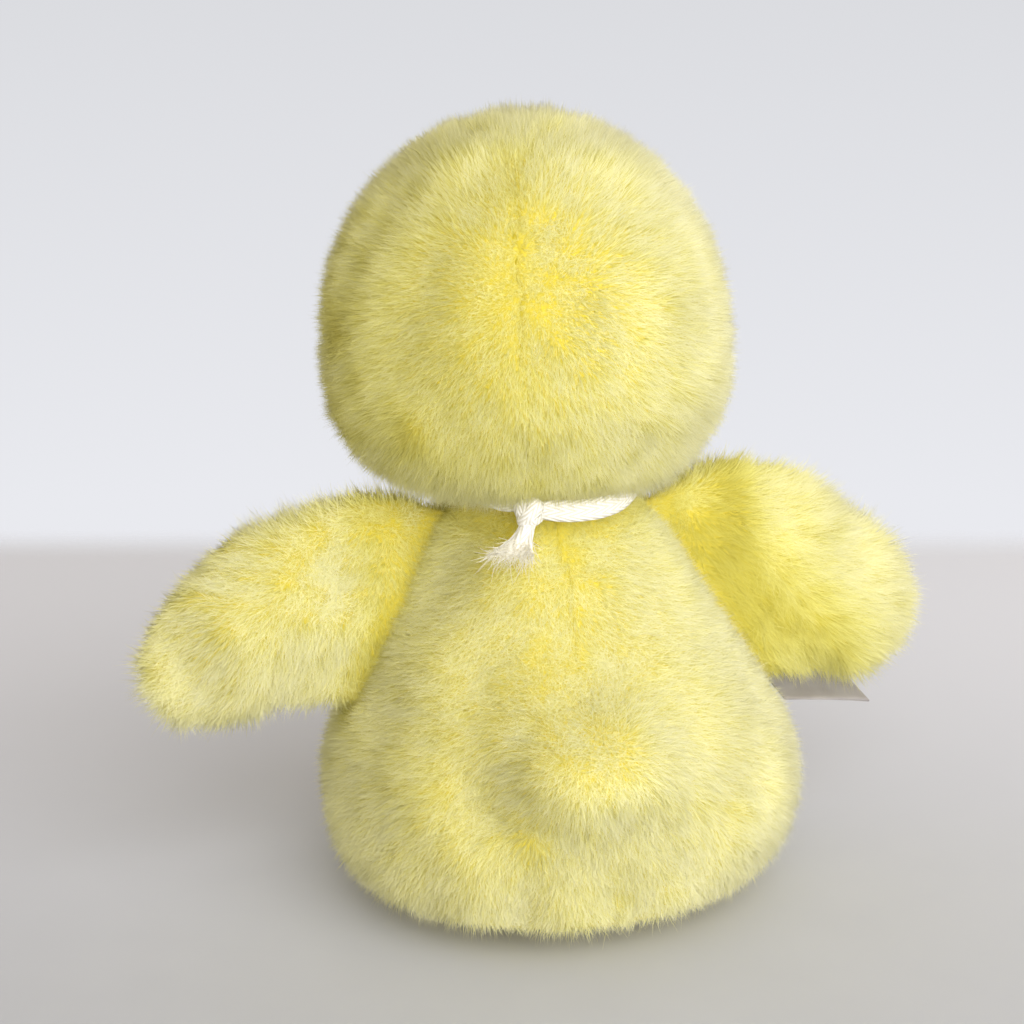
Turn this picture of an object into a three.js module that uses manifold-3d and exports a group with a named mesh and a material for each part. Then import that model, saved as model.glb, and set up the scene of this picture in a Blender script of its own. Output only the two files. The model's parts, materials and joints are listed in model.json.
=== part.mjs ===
// A sitting plush chick. The pear-shaped body has a base panel, a belly panel, two back panels and
// a tail pocket; the round head is sewn from a crown gusset and two sides; the paddle wings and the
// felt feet are sewn on along one edge. A cotton tape is knotted round the neck, and a bare folded
// label sticks out of the right side. The chick faces -Y and sits on z = 0; its left is +X.

import * as THREE from 'three';
import { ParametricGeometry } from 'three/addons/geometries/ParametricGeometry.js';
import { mergeVertices } from 'three/addons/utils/BufferGeometryUtils.js';
import Module from 'manifold-3d';

const wasm = await Module();
wasm.setup();

// Driving dimensions: lengths in millimetres, angles in degrees

// Cloth
const SEAM_GAP = 0.3; // play between two pieces that touch
const PLUSH = 5; // backing cloth and pile together

// Body
const BODY_LEAN = 4.6; // the body slumps towards its left
const BASE_RADIUS = 38; // flat underside
const BELLY_BULGE = 19; // belly past the flat underside
const BELLY_HEIGHT = 29; // widest level
const HIP_RISE = 20; // from the widest level to the straight flank
const HIP_TUCK = 7.5; // flank's lower end, inside the widest radius
const HIP_HANDLE = 0.4; // fullness of the hip, as a share of its rise
const FLANK_RISE = 41; // straight flank, where a wing is sewn on
const SHOULDER_RADIUS = 29;
const SHOULDER_RISE = 5;
const NECK_RADIUS = 25;
const BASE_SEAM = 0.55; // place of the base seam, as a share of the way from underside to belly

// Tail pocket
const TAIL_WIDTH = 54;
const TAIL_TALL = 36;
const TAIL_REACH = 19; // past the back
const TAIL_SINK = 5; // depth of its widest section inside the back
const TAIL_HEIGHT = 47; // middle of the pocket above the floor

// Head
const HEAD_RADIUS = 49.5;
const HEAD_HALF_TALL = 48.5;
const HEAD_SINK = 11.2; // lower cap that the neck takes away
const CHEEK_SWELL = 0.08; // extra width low on the sides, as a share of the radius
const HEAD_TILT = 4; // towards its left
const HEAD_TURN = -12; // from straight ahead
const GUSSET_FRONT = -4; // elevation of the crown gusset's front tip
const GUSSET_BACK = 55; // elevation of its back tip
const GUSSET_SPREAD = 32; // half its angle about the line between the tips

// Eyes
const EYE_RADIUS = 4.5;
const EYE_DOME = 3.6;
const EYE_STEM_RADIUS = 1.4;
const EYE_STEM_SPARE = 3; // stem past its washer
const EYE_AZIMUTH = 30; // from straight ahead
const EYE_ELEVATION = 10;
const WASHER_RADIUS = 5.5;
const WASHER_THICKNESS = 1.5;

// Beak
const BEAK_REACH = 12; // past the head
const BEAK_WIDTH = 18;
const BEAK_UPPER_TALL = 6.5;
const BEAK_LOWER_TALL = 4;
const BEAK_SETBACK = 2.5; // lower half behind the upper
const BEAK_ELEVATION = -7;

// Wings
const WING_LENGTH = 49; // root seam to tip
const WING_WIDEST = 15; // root seam to the widest section
const WING_WIDTH = 59;
const WING_ROOT_WIDTH = 52;
const WING_THICKNESS = 22;
const WING_ROOT_THICKNESS = 6;
const WING_DROOP = 26; // tip below square to the root seam
const WING_FORWARD = { left: 0, right: 20 }; // how far each wing rests ahead of straight out

// Feet
const FOOT_LENGTH = 26;
const FOOT_THICKNESS = 5;
const FOOT_HEEL = 20;
const FOOT_EDGE = 0.7; // rounding of the pads
const FOOT_AHEAD = -90; // straight ahead
const FOOT_SPLAY = 24; // from straight ahead
const TOE_RADIUS = 6;
const TOE_FAN = 30; // between two toes
const TOE_SWEEP = 105; // from a toe's tip round to the heel
const TOE_NOTCH = 70; // from a toe's tip round to the next toe

// Neck tape
const TAPE_WIDTH = 5;
const TAPE_THICKNESS = 1;
const TAPE_PLAY = 0.6; // between the tape and the neck
const KNOT_RADIUS = 2.8;
const KNOT_LENGTH = 7;
const KNOT_AZIMUTH = 73; // from +X, just left of the middle of the back
const END_LENGTH = 15; // knot's middle to the frayed edge
const END_NECK = 3.2;
const END_FLARE = 9;
const END_NOTCH = 2; // depth of the frayed edge
const END_TUFTS = 4;
const END_ASIDE = 20; // towards the left
const END_LIFT = 6; // off the back

// Side label
const LABEL_LENGTH = 24;
const LABEL_WIDTH = 20;
const LABEL_PLY = 0.5;
const LABEL_FOLD = 0.5; // space between the two plies
const LABEL_HEIGHT = 37;
const LABEL_AZIMUTH = 188; // from +X
const LABEL_ROLL = -10;

// Facets
const BODY_FACETS = 28;
const RIM_STEPS = 4;
const HIP_STEPS = 3;
const FLANK_STEPS = 2;
const SHOULDER_STEPS = 2;
const HEAD_FACETS = 24;
const HEAD_RINGS = 14;
const TAIL_FACETS = 16;
const TAIL_RINGS = 10;
const WING_STEPS = 11;
const WING_FACETS = 16;
const SMALL_FACETS = 12;
const SMALL_RINGS = 8;
const TAPE_FACETS = 32;
const EDGE_STEPS = 1;
const TOE_STEPS = 6;

// Colours and sheens
const PLUSH_FINISH = { color: 0xece383, roughness: 0.95, metalness: 0 };
const STUFFING_FINISH = { color: 0xf2f0ea, roughness: 1, metalness: 0 };
const FELT_FINISH = { color: 0xe08a2c, roughness: 0.9, metalness: 0 };
const EYE_FINISH = { color: 0x14110f, roughness: 0.12, metalness: 0 };
const WASHER_FINISH = { color: 0xe4e2dc, roughness: 0.5, metalness: 0 };
const TAPE_FINISH = { color: 0xf3f0e4, roughness: 0.85, metalness: 0 };
const LABEL_FINISH = { color: 0xe9e6e1, roughness: 0.45, metalness: 0 };

const UP = new THREE.Vector3(0, 0, 1);
const REACH = 4 * (BASE_RADIUS + BELLY_BULGE + HEAD_RADIUS); // larger than the whole chick
const rad = THREE.MathUtils.degToRad;

// Solids and pieces

function toSolid(geometry) {
  const bare = geometry.clone();
  bare.deleteAttribute('normal');
  bare.deleteAttribute('uv');
  const joined = mergeVertices(bare);
  const corners = joined.index.array;
  const kept = [];
  for (let i = 0; i < corners.length; i += 3) {
    const [a, b, c] = corners.slice(i, i + 3);
    if (a !== b && b !== c && c !== a) kept.push(a, b, c);
  }
  return new wasm.Manifold(new wasm.Mesh({
    numProp: 3,
    vertProperties: new Float32Array(joined.attributes.position.array),
    triVerts: new Uint32Array(kept),
  }));
}

function toGeometry(solid) {
  const mesh = solid.getMesh();
  const geometry = new THREE.BufferGeometry();
  geometry.setAttribute('position', new THREE.BufferAttribute(mesh.vertProperties, 3));
  geometry.setIndex(new THREE.BufferAttribute(mesh.triVerts, 1));
  geometry.computeVertexNormals();
  return geometry;
}

function addPiece(parent, name, shape, finish) {
  const geometry = shape.isBufferGeometry ? shape : toGeometry(shape);
  const mesh = new THREE.Mesh(geometry, new THREE.MeshStandardMaterial(finish));
  mesh.name = name;
  parent.add(mesh);
}

function addGroup(parent, name) {
  const group = new THREE.Group();
  group.name = name;
  parent.add(group);
  return group;
}

// A box between two limits on each axis
function block([x0, x1], [y0, y1], [z0, z1]) {
  const box = new THREE.BoxGeometry(x1 - x0, y1 - y0, z1 - z0);
  return box.translate((x0 + x1) / 2, (y0 + y1) / 2, (z0 + z1) / 2);
}

// A profile of radius and height turned about the Z axis
function turned(points, facets) {
  return new THREE.LatheGeometry(points, facets).rotateX(Math.PI / 2);
}

function rod(radius, low, high) {
  return turned([
    new THREE.Vector2(0, low),
    new THREE.Vector2(radius, low),
    new THREE.Vector2(radius, high),
    new THREE.Vector2(0, high),
  ], SMALL_FACETS);
}

function ellipsoid(halfX, halfY, halfZ, facets, rings) {
  return new THREE.SphereGeometry(1, facets, rings).rotateX(Math.PI / 2).scale(halfX, halfY, halfZ);
}

// Body outline: radius and height of the plush surface, from the underside up to the neck

const bellyRadius = BASE_RADIUS + BELLY_BULGE;
const flankLow = new THREE.Vector2(bellyRadius - HIP_TUCK, BELLY_HEIGHT + HIP_RISE);
const flankHigh = new THREE.Vector2(SHOULDER_RADIUS, flankLow.y + FLANK_RISE);
const flankSlope = flankHigh.clone().sub(flankLow).normalize();
const collarFoot = new THREE.Vector2(NECK_RADIUS, flankHigh.y + SHOULDER_RISE);
const tapeMiddle = collarFoot.y + TAPE_PLAY + TAPE_WIDTH / 2;
const neckTop = collarFoot.y + TAPE_WIDTH + 2 * TAPE_PLAY;
const neckOpening = NECK_RADIUS - PLUSH;

const rimCurve = new THREE.EllipseCurve(
  BASE_RADIUS, BELLY_HEIGHT, BELLY_BULGE, BELLY_HEIGHT, -Math.PI / 2, 0);
const hipCurve = new THREE.CubicBezierCurve(
  new THREE.Vector2(bellyRadius, BELLY_HEIGHT),
  new THREE.Vector2(bellyRadius, BELLY_HEIGHT + HIP_HANDLE * HIP_RISE),
  flankLow.clone().addScaledVector(flankSlope, -HIP_HANDLE * HIP_RISE),
  flankLow);
const flankLine = new THREE.LineCurve(flankLow, flankHigh);
const shoulderCurve = new THREE.QuadraticBezierCurve(
  flankHigh, flankHigh.clone().addScaledVector(flankSlope, SHOULDER_RISE / 2), collarFoot);
const bodyOutline = [
  [rimCurve, RIM_STEPS],
  [hipCurve, HIP_STEPS],
  [flankLine, FLANK_STEPS],
  [shoulderCurve, SHOULDER_STEPS],
];

// The slump moves every level of the body sideways in step with its height
const LEAN = new THREE.Matrix4().makeShear(0, 0, 0, 0, Math.tan(rad(BODY_LEAN)), 0);
const leanAt = (height) => height * Math.tan(rad(BODY_LEAN));

function insetPoint(curve, share, inset) {
  const along = curve.getTangent(share);
  return curve.getPoint(share).add(new THREE.Vector2(-along.y, along.x).multiplyScalar(inset));
}

// The body's form moved inwards by an inset, closed flat at a given top
function bodyForm(inset, top) {
  const points = [new THREE.Vector2(0, inset)];
  for (const [curve, steps] of bodyOutline) {
    for (let i = 0; i < steps; i++) points.push(insetPoint(curve, i / steps, inset));
  }
  points.push(new THREE.Vector2(NECK_RADIUS - inset, collarFoot.y));
  points.push(new THREE.Vector2(NECK_RADIUS - inset, top));
  points.push(new THREE.Vector2(0, top));
  return toSolid(turned(points, BODY_FACETS).applyMatrix4(LEAN));
}

const clearOfBody = bodyForm(-SEAM_GAP, neckTop);

// The place on the body where a flap is sewn on level: its hinge stands off the plush by half the
// flap's thickness, and +X of its group points away from the body
function levelSeam(group, curve, share, azimuth, thickness) {
  const hinge = insetPoint(curve, share, -thickness / 2 - SEAM_GAP);
  group.position.set(hinge.x, 0, hinge.y).applyAxisAngle(UP, rad(azimuth)).applyMatrix4(LEAN);
  group.rotation.order = 'ZYX';
  group.rotation.z = rad(azimuth);
  return hinge.y;
}

function addBody(chick) {
  const shell = bodyForm(0, neckTop).subtract(bodyForm(PLUSH, neckTop + PLUSH));
  const seamHeight = rimCurve.getPoint(BASE_SEAM).y;
  const half = SEAM_GAP / 2;
  const all = [-REACH, REACH];
  const below = [-REACH, seamHeight - half];
  const above = [seamHeight + half, REACH];
  const panels = {
    base_panel: block(all, all, below),
    belly_panel: block(all, [-REACH, -half], above),
    back_panel_left: block([half, REACH], [half, REACH], above),
    back_panel_right: block([-REACH, -half], [half, REACH], above),
  };
  for (const [name, region] of Object.entries(panels)) {
    addPiece(chick, name, shell.intersect(toSolid(region.applyMatrix4(LEAN))), PLUSH_FINISH);
  }
  addPiece(chick, 'body_stuffing', bodyForm(PLUSH + SEAM_GAP, neckTop), STUFFING_FINISH);
}

function addTail(chick) {
  const back = flankRadius(TAIL_HEIGHT);
  const tailForm = (inset) => toSolid(ellipsoid(
    TAIL_WIDTH / 2 - inset, TAIL_REACH + TAIL_SINK - inset, TAIL_TALL / 2 - inset,
    TAIL_FACETS, TAIL_RINGS,
  ).translate(leanAt(TAIL_HEIGHT), back - TAIL_SINK, TAIL_HEIGHT));
  const cover = tailForm(0).subtract(tailForm(PLUSH)).subtract(clearOfBody);
  addPiece(chick, 'tail_cover', cover, PLUSH_FINISH);
  const filling = tailForm(PLUSH + SEAM_GAP).subtract(clearOfBody);
  addPiece(chick, 'tail_stuffing', filling, STUFFING_FINISH);
}

// Radius of the flank's straight line, carried on past its ends
function flankRadius(height) {
  return flankLow.x + (height - flankLow.y) * flankSlope.x / flankSlope.y;
}

// Head: its group stands on the neck, and its pieces are shaped upright and then tilted

const headRise = HEAD_HALF_TALL - HEAD_SINK;

function settle(geometry) {
  return geometry.rotateY(rad(HEAD_TILT)).translate(headRise * Math.tan(rad(HEAD_TILT)), 0, headRise);
}

function headForm(inset) {
  const ball = new THREE.SphereGeometry(1, HEAD_FACETS, HEAD_RINGS).rotateX(Math.PI / 2);
  const places = ball.attributes.position;
  const place = new THREE.Vector3();
  for (let i = 0; i < places.count; i++) {
    place.fromBufferAttribute(places, i);
    const low = Math.sin(Math.PI * Math.min(0, place.z)) ** 2;
    place.x *= 1 + CHEEK_SWELL * low;
    places.setXYZ(i, place.x, place.y, place.z);
  }
  const across = HEAD_RADIUS - inset;
  return toSolid(settle(ball.scale(across, across, HEAD_HALF_TALL - inset)));
}

// A point of the upright head at an azimuth from straight ahead and an elevation
function headPoint(azimuth, elevation) {
  const out = HEAD_RADIUS * Math.cos(rad(elevation));
  return new THREE.Vector3(
    out * Math.sin(rad(azimuth)), -out * Math.cos(rad(azimuth)),
    HEAD_HALF_TALL * Math.sin(rad(elevation)));
}

// The wedge that holds the crown gusset, with its edge on the line between the gusset's tips
function gussetWedge(growth) {
  const back = headPoint(180, GUSSET_BACK);
  const chord = headPoint(0, GUSSET_FRONT).sub(back);
  const along = chord.clone().normalize();
  const across = new THREE.Vector3(1, 0, 0);
  const upward = new THREE.Vector3().crossVectors(along, across);
  const spread = Math.tan(rad(GUSSET_SPREAD));
  const edge = -growth / Math.sin(rad(GUSSET_SPREAD));
  const section = new THREE.Shape();
  section.moveTo(0, edge);
  section.lineTo(REACH * spread, edge + REACH);
  section.lineTo(-REACH * spread, edge + REACH);
  const length = chord.length() + 2 * HEAD_RADIUS;
  const wedge = new THREE.ExtrudeGeometry(section, { depth: length, bevelEnabled: false });
  const start = back.addScaledVector(along, -HEAD_RADIUS);
  const frame = new THREE.Matrix4().makeBasis(across, upward, along).setPosition(start);
  return toSolid(settle(wedge.applyMatrix4(frame)));
}

// Puts an eye piece, shaped about +Z with the plush surface at z = 0, where that eye is
function atEye(geometry, side) {
  const place = headPoint(side * EYE_AZIMUTH, EYE_ELEVATION);
  const turn = new THREE.Quaternion().setFromUnitVectors(UP, place.clone().normalize());
  return settle(geometry.applyQuaternion(turn).translate(place.x, place.y, place.z));
}

const washerTop = -PLUSH - SEAM_GAP;
const stemEnd = washerTop - WASHER_THICKNESS - EYE_STEM_SPARE;

function eyeShape() {
  const dome = new THREE.EllipseCurve(0, SEAM_GAP, EYE_RADIUS, EYE_DOME, 0, Math.PI / 2);
  const points = [
    new THREE.Vector2(0, stemEnd),
    new THREE.Vector2(EYE_STEM_RADIUS, stemEnd),
    new THREE.Vector2(EYE_STEM_RADIUS, SEAM_GAP),
  ].concat(dome.getPoints(SMALL_RINGS / 2));
  points[points.length - 1].x = 0;
  return turned(points, SMALL_FACETS);
}

function washerShape() {
  const hole = EYE_STEM_RADIUS + SEAM_GAP;
  const low = washerTop - WASHER_THICKNESS;
  return turned([
    new THREE.Vector2(hole, low),
    new THREE.Vector2(WASHER_RADIUS, low),
    new THREE.Vector2(WASHER_RADIUS, washerTop),
    new THREE.Vector2(hole, washerTop),
    new THREE.Vector2(hole, low),
  ], SMALL_FACETS);
}

function addHead(chick) {
  const head = addGroup(chick, 'head');
  head.position.set(leanAt(neckTop), 0, neckTop + SEAM_GAP);
  head.rotation.z = rad(HEAD_TURN);
  const all = [-REACH, REACH];
  const half = SEAM_GAP / 2;
  const sides = { left: 1, right: -1 };
  const inside = (inset, floor) => headForm(inset).intersect(toSolid(block(all, all, [floor, REACH])));
  const cavity = inside(PLUSH, PLUSH).add(toSolid(rod(neckOpening, -PLUSH, headRise)));
  const neckPlug = toSolid(rod(neckOpening - SEAM_GAP, 0, headRise));
  let shell = inside(0, 0).subtract(cavity);
  let filling = inside(PLUSH + SEAM_GAP, PLUSH + SEAM_GAP).add(neckPlug);
  for (const [name, side] of Object.entries(sides)) {
    const stemHole = rod(EYE_STEM_RADIUS + SEAM_GAP, stemEnd, EYE_DOME);
    const washerSeat = rod(WASHER_RADIUS + SEAM_GAP, stemEnd, -PLUSH);
    const washerPocket = rod(WASHER_RADIUS + SEAM_GAP, stemEnd - SEAM_GAP, 0);
    shell = shell.subtract(toSolid(atEye(stemHole, side))).subtract(toSolid(atEye(washerSeat, side)));
    filling = filling.subtract(toSolid(atEye(washerPocket, side)));
    addPiece(head, `eye_${name}`, atEye(eyeShape(), side), EYE_FINISH);
    addPiece(head, `eye_washer_${name}`, atEye(washerShape(), side), WASHER_FINISH);
  }
  addPiece(head, 'head_stuffing', filling, STUFFING_FINISH);
  addPiece(head, 'head_gusset', shell.intersect(gussetWedge(-half)), PLUSH_FINISH);
  const sewnSides = shell.subtract(gussetWedge(half));
  for (const [name, side] of Object.entries(sides)) {
    const region = side > 0 ? [half, REACH] : [-REACH, -half];
    const panel = sewnSides.intersect(toSolid(settle(block(region, all, all))));
    addPiece(head, `head_panel_${name}`, panel, PLUSH_FINISH);
  }
  addBeak(head);
}

function addBeak(head) {
  const root = headPoint(0, BEAK_ELEVATION);
  const clearOfHead = headForm(-SEAM_GAP);
  const all = [-REACH, REACH];
  const half = SEAM_GAP / 2;
  const beakHalf = (reach, tall, region) => {
    const form = ellipsoid(BEAK_WIDTH / 2, reach, tall, SMALL_FACETS, SMALL_RINGS);
    const cut = toSolid(form).intersect(toSolid(block(all, all, region)));
    const placed = settle(toGeometry(cut).translate(root.x, root.y, root.z));
    return toSolid(placed).subtract(clearOfHead);
  };
  const upper = beakHalf(BEAK_REACH, BEAK_UPPER_TALL, [half, REACH]);
  const lower = beakHalf(BEAK_REACH - BEAK_SETBACK, BEAK_LOWER_TALL, [-REACH, -half]);
  addPiece(head, 'beak_upper', upper, FELT_FINISH);
  addPiece(head, 'beak_lower', lower, FELT_FINISH);
}

// Wings: +X of the group runs out from the root seam, +Z up along it, and Y is the thickness

const wingNose = WING_ROOT_THICKNESS / 2;

function wingForm(inset) {
  const thick = WING_THICKNESS / 2;
  const tip = WING_LENGTH - inset;
  const start = inset < wingNose
    ? -Math.sqrt(wingNose ** 2 - inset ** 2)
    : WING_WIDEST * 2 / Math.PI * Math.asin(Math.sqrt((inset - wingNose) / (thick - wingNose)));
  const towardsTip = (out) => Math.sqrt(Math.max(0, 1 - ((out - WING_WIDEST) / (tip - WING_WIDEST)) ** 2));
  const halfThick = (out) => {
    if (out <= 0) return Math.sqrt(Math.max(0, wingNose ** 2 - out ** 2)) - inset;
    if (out > WING_WIDEST) return (thick - inset) * towardsTip(out);
    return wingNose + (thick - wingNose) * Math.sin(Math.PI / 2 * out / WING_WIDEST) ** 2 - inset;
  };
  const halfWide = (out) => {
    if (out > WING_WIDEST) return (WING_WIDTH / 2 - inset) * towardsTip(out);
    const gain = (WING_WIDTH - WING_ROOT_WIDTH) / 2;
    return WING_WIDTH / 2 - gain * (1 - out / WING_WIDEST) ** 2 - inset;
  };
  const surface = (around, along, target) => {
    const share = (1 - Math.cos(Math.PI * along)) / 2;
    const out = start + (tip - start) * share;
    const angle = -2 * Math.PI * around;
    const atEnd = along === 0 || along === 1;
    const droop = Math.tan(rad(WING_DROOP)) * out;
    target.set(
      out,
      atEnd ? 0 : halfThick(out) * Math.sin(angle),
      halfWide(out) * Math.cos(angle) - droop);
  };
  return toSolid(new ParametricGeometry(surface, WING_FACETS, WING_STEPS));
}

function addWing(chick, name, side) {
  const wing = addGroup(chick, `wing_${name}`);
  const low = new THREE.Vector3(side * flankLow.x, 0, flankLow.y).applyMatrix4(LEAN);
  const high = new THREE.Vector3(side * flankHigh.x, 0, flankHigh.y).applyMatrix4(LEAN);
  const recline = Math.atan2(side * (low.x - high.x), high.z - low.z);
  const outward = new THREE.Vector3(side * Math.cos(recline), 0, Math.sin(recline));
  wing.position.lerpVectors(low, high, 1 / 2).addScaledVector(outward, wingNose + SEAM_GAP);
  wing.rotation.set(0, -side * recline, -side * rad(WING_FORWARD[name]), 'YZX');
  wing.scale.x = side;
  const shell = wingForm(0).subtract(wingForm(PLUSH));
  const all = [-REACH, REACH];
  const half = SEAM_GAP / 2;
  const back = shell.intersect(toSolid(block(all, [half, REACH], all)));
  const front = shell.intersect(toSolid(block(all, [-REACH, -half], all)));
  addPiece(wing, `wing_${name}_back_panel`, back, PLUSH_FINISH);
  addPiece(wing, `wing_${name}_front_panel`, front, PLUSH_FINISH);
  addPiece(wing, `wing_${name}_stuffing`, wingForm(PLUSH + SEAM_GAP), STUFFING_FINISH);
}

// Feet: flat felt pads with three toes and a rolled heel, sewn into the base seam and sloping to
// the floor; +X of the group runs out from the heel

function footOutline() {
  const outline = new THREE.Shape();
  outline.moveTo(0, FOOT_HEEL / 2);
  outline.lineTo(0, -FOOT_HEEL / 2);
  for (const toe of [-1, 0, 1]) {
    const facing = toe * rad(TOE_FAN);
    const reach = FOOT_LENGTH - TOE_RADIUS;
    const start = facing - rad(toe < 0 ? TOE_SWEEP : TOE_NOTCH);
    const end = facing + rad(toe > 0 ? TOE_SWEEP : TOE_NOTCH);
    outline.absarc(reach * Math.cos(facing), reach * Math.sin(facing), TOE_RADIUS, start, end);
  }
  return outline;
}

function addFoot(chick, name, side) {
  const foot = addGroup(chick, `foot_${name}`);
  const level = levelSeam(foot, rimCurve, BASE_SEAM, FOOT_AHEAD + side * FOOT_SPLAY, FOOT_THICKNESS);
  foot.rotation.y = Math.asin((level - FOOT_THICKNESS / 2) / FOOT_LENGTH);
  const pad = new THREE.ExtrudeGeometry(footOutline(), {
    depth: FOOT_THICKNESS - 2 * FOOT_EDGE,
    bevelThickness: FOOT_EDGE,
    bevelSize: FOOT_EDGE,
    bevelOffset: -FOOT_EDGE,
    bevelSegments: EDGE_STEPS,
    curveSegments: TOE_STEPS,
  }).translate(0, 0, FOOT_EDGE - FOOT_THICKNESS / 2);
  const heelRoll = rod(FOOT_THICKNESS / 2, -FOOT_HEEL / 2, FOOT_HEEL / 2).rotateX(Math.PI / 2);
  const form = toSolid(pad).add(toSolid(heelRoll));
  const all = [-REACH, REACH];
  const half = SEAM_GAP / 2;
  const top = form.intersect(toSolid(block(all, all, [half, REACH])));
  const sole = form.intersect(toSolid(block(all, all, [-REACH, -half])));
  addPiece(foot, `foot_${name}_top`, top, FELT_FINISH);
  addPiece(foot, `foot_${name}_sole`, sole, FELT_FINISH);
}

// Neck tape: a flat band, the knot on it and the frayed end that hangs down the back

function bandShape() {
  const inner = NECK_RADIUS + TAPE_PLAY;
  const outer = inner + TAPE_THICKNESS;
  const half = TAPE_WIDTH / 2;
  return turned([
    new THREE.Vector2(inner, -half),
    new THREE.Vector2(outer, -half),
    new THREE.Vector2(outer, half),
    new THREE.Vector2(inner, half),
    new THREE.Vector2(inner, -half),
  ], TAPE_FACETS);
}

function knotForm(growth) {
  const round = KNOT_RADIUS + growth;
  return ellipsoid(round, KNOT_LENGTH / 2 + growth, round, SMALL_FACETS, SMALL_RINGS);
}

function endOutline() {
  const outline = new THREE.Shape();
  const tuft = END_FLARE / END_TUFTS;
  outline.moveTo(0, -END_NECK / 2);
  for (let i = 0; i < END_TUFTS; i++) {
    const edge = -END_FLARE / 2 + i * tuft;
    outline.lineTo(END_LENGTH - END_NOTCH, edge);
    outline.lineTo(END_LENGTH, edge + tuft / 2);
  }
  outline.lineTo(END_LENGTH - END_NOTCH, END_FLARE / 2);
  outline.lineTo(0, END_NECK / 2);
  return outline;
}

function addTape(chick) {
  const tape = addGroup(chick, 'tape');
  tape.position.set(leanAt(tapeMiddle), 0, tapeMiddle);
  tape.rotation.z = rad(KNOT_AZIMUTH);
  addPiece(tape, 'tape_band', toSolid(bandShape()), TAPE_FINISH);
  const bandOuter = NECK_RADIUS + TAPE_PLAY + TAPE_THICKNESS;
  const knotReach = bandOuter + KNOT_RADIUS;
  const underKnot = new THREE.LatheGeometry([
    new THREE.Vector2(0, -TAPE_WIDTH),
    new THREE.Vector2(bandOuter + SEAM_GAP, -TAPE_WIDTH),
    new THREE.Vector2(bandOuter + SEAM_GAP, TAPE_WIDTH),
    new THREE.Vector2(0, TAPE_WIDTH),
  ], TAPE_FACETS).rotateX(Math.PI / 2);
  const knot = toSolid(knotForm(0).translate(knotReach, 0, 0)).subtract(toSolid(underKnot));
  addPiece(tape, 'tape_knot', knot, TAPE_FINISH);

  const end = addGroup(tape, 'tape_end_root');
  end.position.x = knotReach;
  end.rotation.y = Math.atan2(flankSlope.y, -flankSlope.x) - rad(END_LIFT);
  const strip = new THREE.ExtrudeGeometry(endOutline(), { depth: TAPE_THICKNESS, bevelEnabled: false });
  strip.translate(0, 0, -TAPE_THICKNESS / 2).rotateZ(-rad(END_ASIDE));
  const hanging = toSolid(strip).subtract(toSolid(knotForm(SEAM_GAP)));
  addPiece(end, 'tape_end', hanging, TAPE_FINISH);
}

// Side label: a ribbon folded double, with its fold outside and its two ends in the seam

function labelOutline() {
  const half = LABEL_PLY + LABEL_FOLD / 2;
  const slot = LABEL_FOLD / 2;
  const bend = LABEL_LENGTH - half;
  const outline = new THREE.Shape();
  outline.moveTo(0, -slot);
  outline.lineTo(0, -half);
  outline.absarc(bend, 0, half, -Math.PI / 2, Math.PI / 2);
  outline.lineTo(0, half);
  outline.lineTo(0, slot);
  outline.absarc(bend, 0, slot, Math.PI / 2, -Math.PI / 2, true);
  return outline;
}

function addLabel(chick) {
  const label = addGroup(chick, 'label');
  const thickness = 2 * LABEL_PLY + LABEL_FOLD;
  const share = (LABEL_HEIGHT - BELLY_HEIGHT) / HIP_RISE;
  levelSeam(label, hipCurve, share, LABEL_AZIMUTH, thickness);
  label.rotation.x = rad(LABEL_ROLL);
  const ribbon = new THREE.ExtrudeGeometry(labelOutline(), {
    depth: LABEL_WIDTH, bevelEnabled: false, curveSegments: TOE_STEPS,
  });
  ribbon.translate(0, 0, -LABEL_WIDTH / 2).rotateX(Math.PI / 2);
  addPiece(label, 'care_label', toSolid(ribbon), LABEL_FINISH);
}

const chick = new THREE.Group();
chick.name = 'plush_chick';
addBody(chick);
addTail(chick);
addHead(chick);
addWing(chick, 'left', 1);
addWing(chick, 'right', -1);
addFoot(chick, 'left', 1);
addFoot(chick, 'right', -1);
addTape(chick);
addLabel(chick);

export default chick;
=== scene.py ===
"""Dresses the sitting plush chick.

Stuffed forms with a combed pile, a felt beak and feet, a knotted tape and a bare label.
"""

import json
import logging
import math
from collections.abc import Callable, Sequence
from dataclasses import dataclass, field, fields, replace
from enum import Enum

import bmesh
import bpy
import numpy as np
from mathutils import Matrix, Vector
from mathutils.bvhtree import BVHTree


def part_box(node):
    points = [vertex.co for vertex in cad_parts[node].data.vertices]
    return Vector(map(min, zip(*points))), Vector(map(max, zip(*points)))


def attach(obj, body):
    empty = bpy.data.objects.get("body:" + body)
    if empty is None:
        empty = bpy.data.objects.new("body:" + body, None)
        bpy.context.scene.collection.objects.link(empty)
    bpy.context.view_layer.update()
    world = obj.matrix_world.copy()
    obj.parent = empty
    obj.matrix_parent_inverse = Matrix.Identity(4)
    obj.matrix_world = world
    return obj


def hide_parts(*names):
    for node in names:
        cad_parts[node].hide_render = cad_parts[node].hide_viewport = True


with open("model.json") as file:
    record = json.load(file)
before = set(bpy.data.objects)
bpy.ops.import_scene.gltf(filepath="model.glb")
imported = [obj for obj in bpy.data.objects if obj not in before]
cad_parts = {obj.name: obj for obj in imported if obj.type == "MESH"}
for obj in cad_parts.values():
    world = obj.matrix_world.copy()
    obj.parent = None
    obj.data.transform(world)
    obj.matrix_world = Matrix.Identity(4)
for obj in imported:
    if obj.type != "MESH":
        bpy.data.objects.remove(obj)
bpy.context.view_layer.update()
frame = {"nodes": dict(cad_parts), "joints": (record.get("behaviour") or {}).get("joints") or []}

Point = tuple[float, float, float]
Line = tuple[Point, Point]

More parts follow.
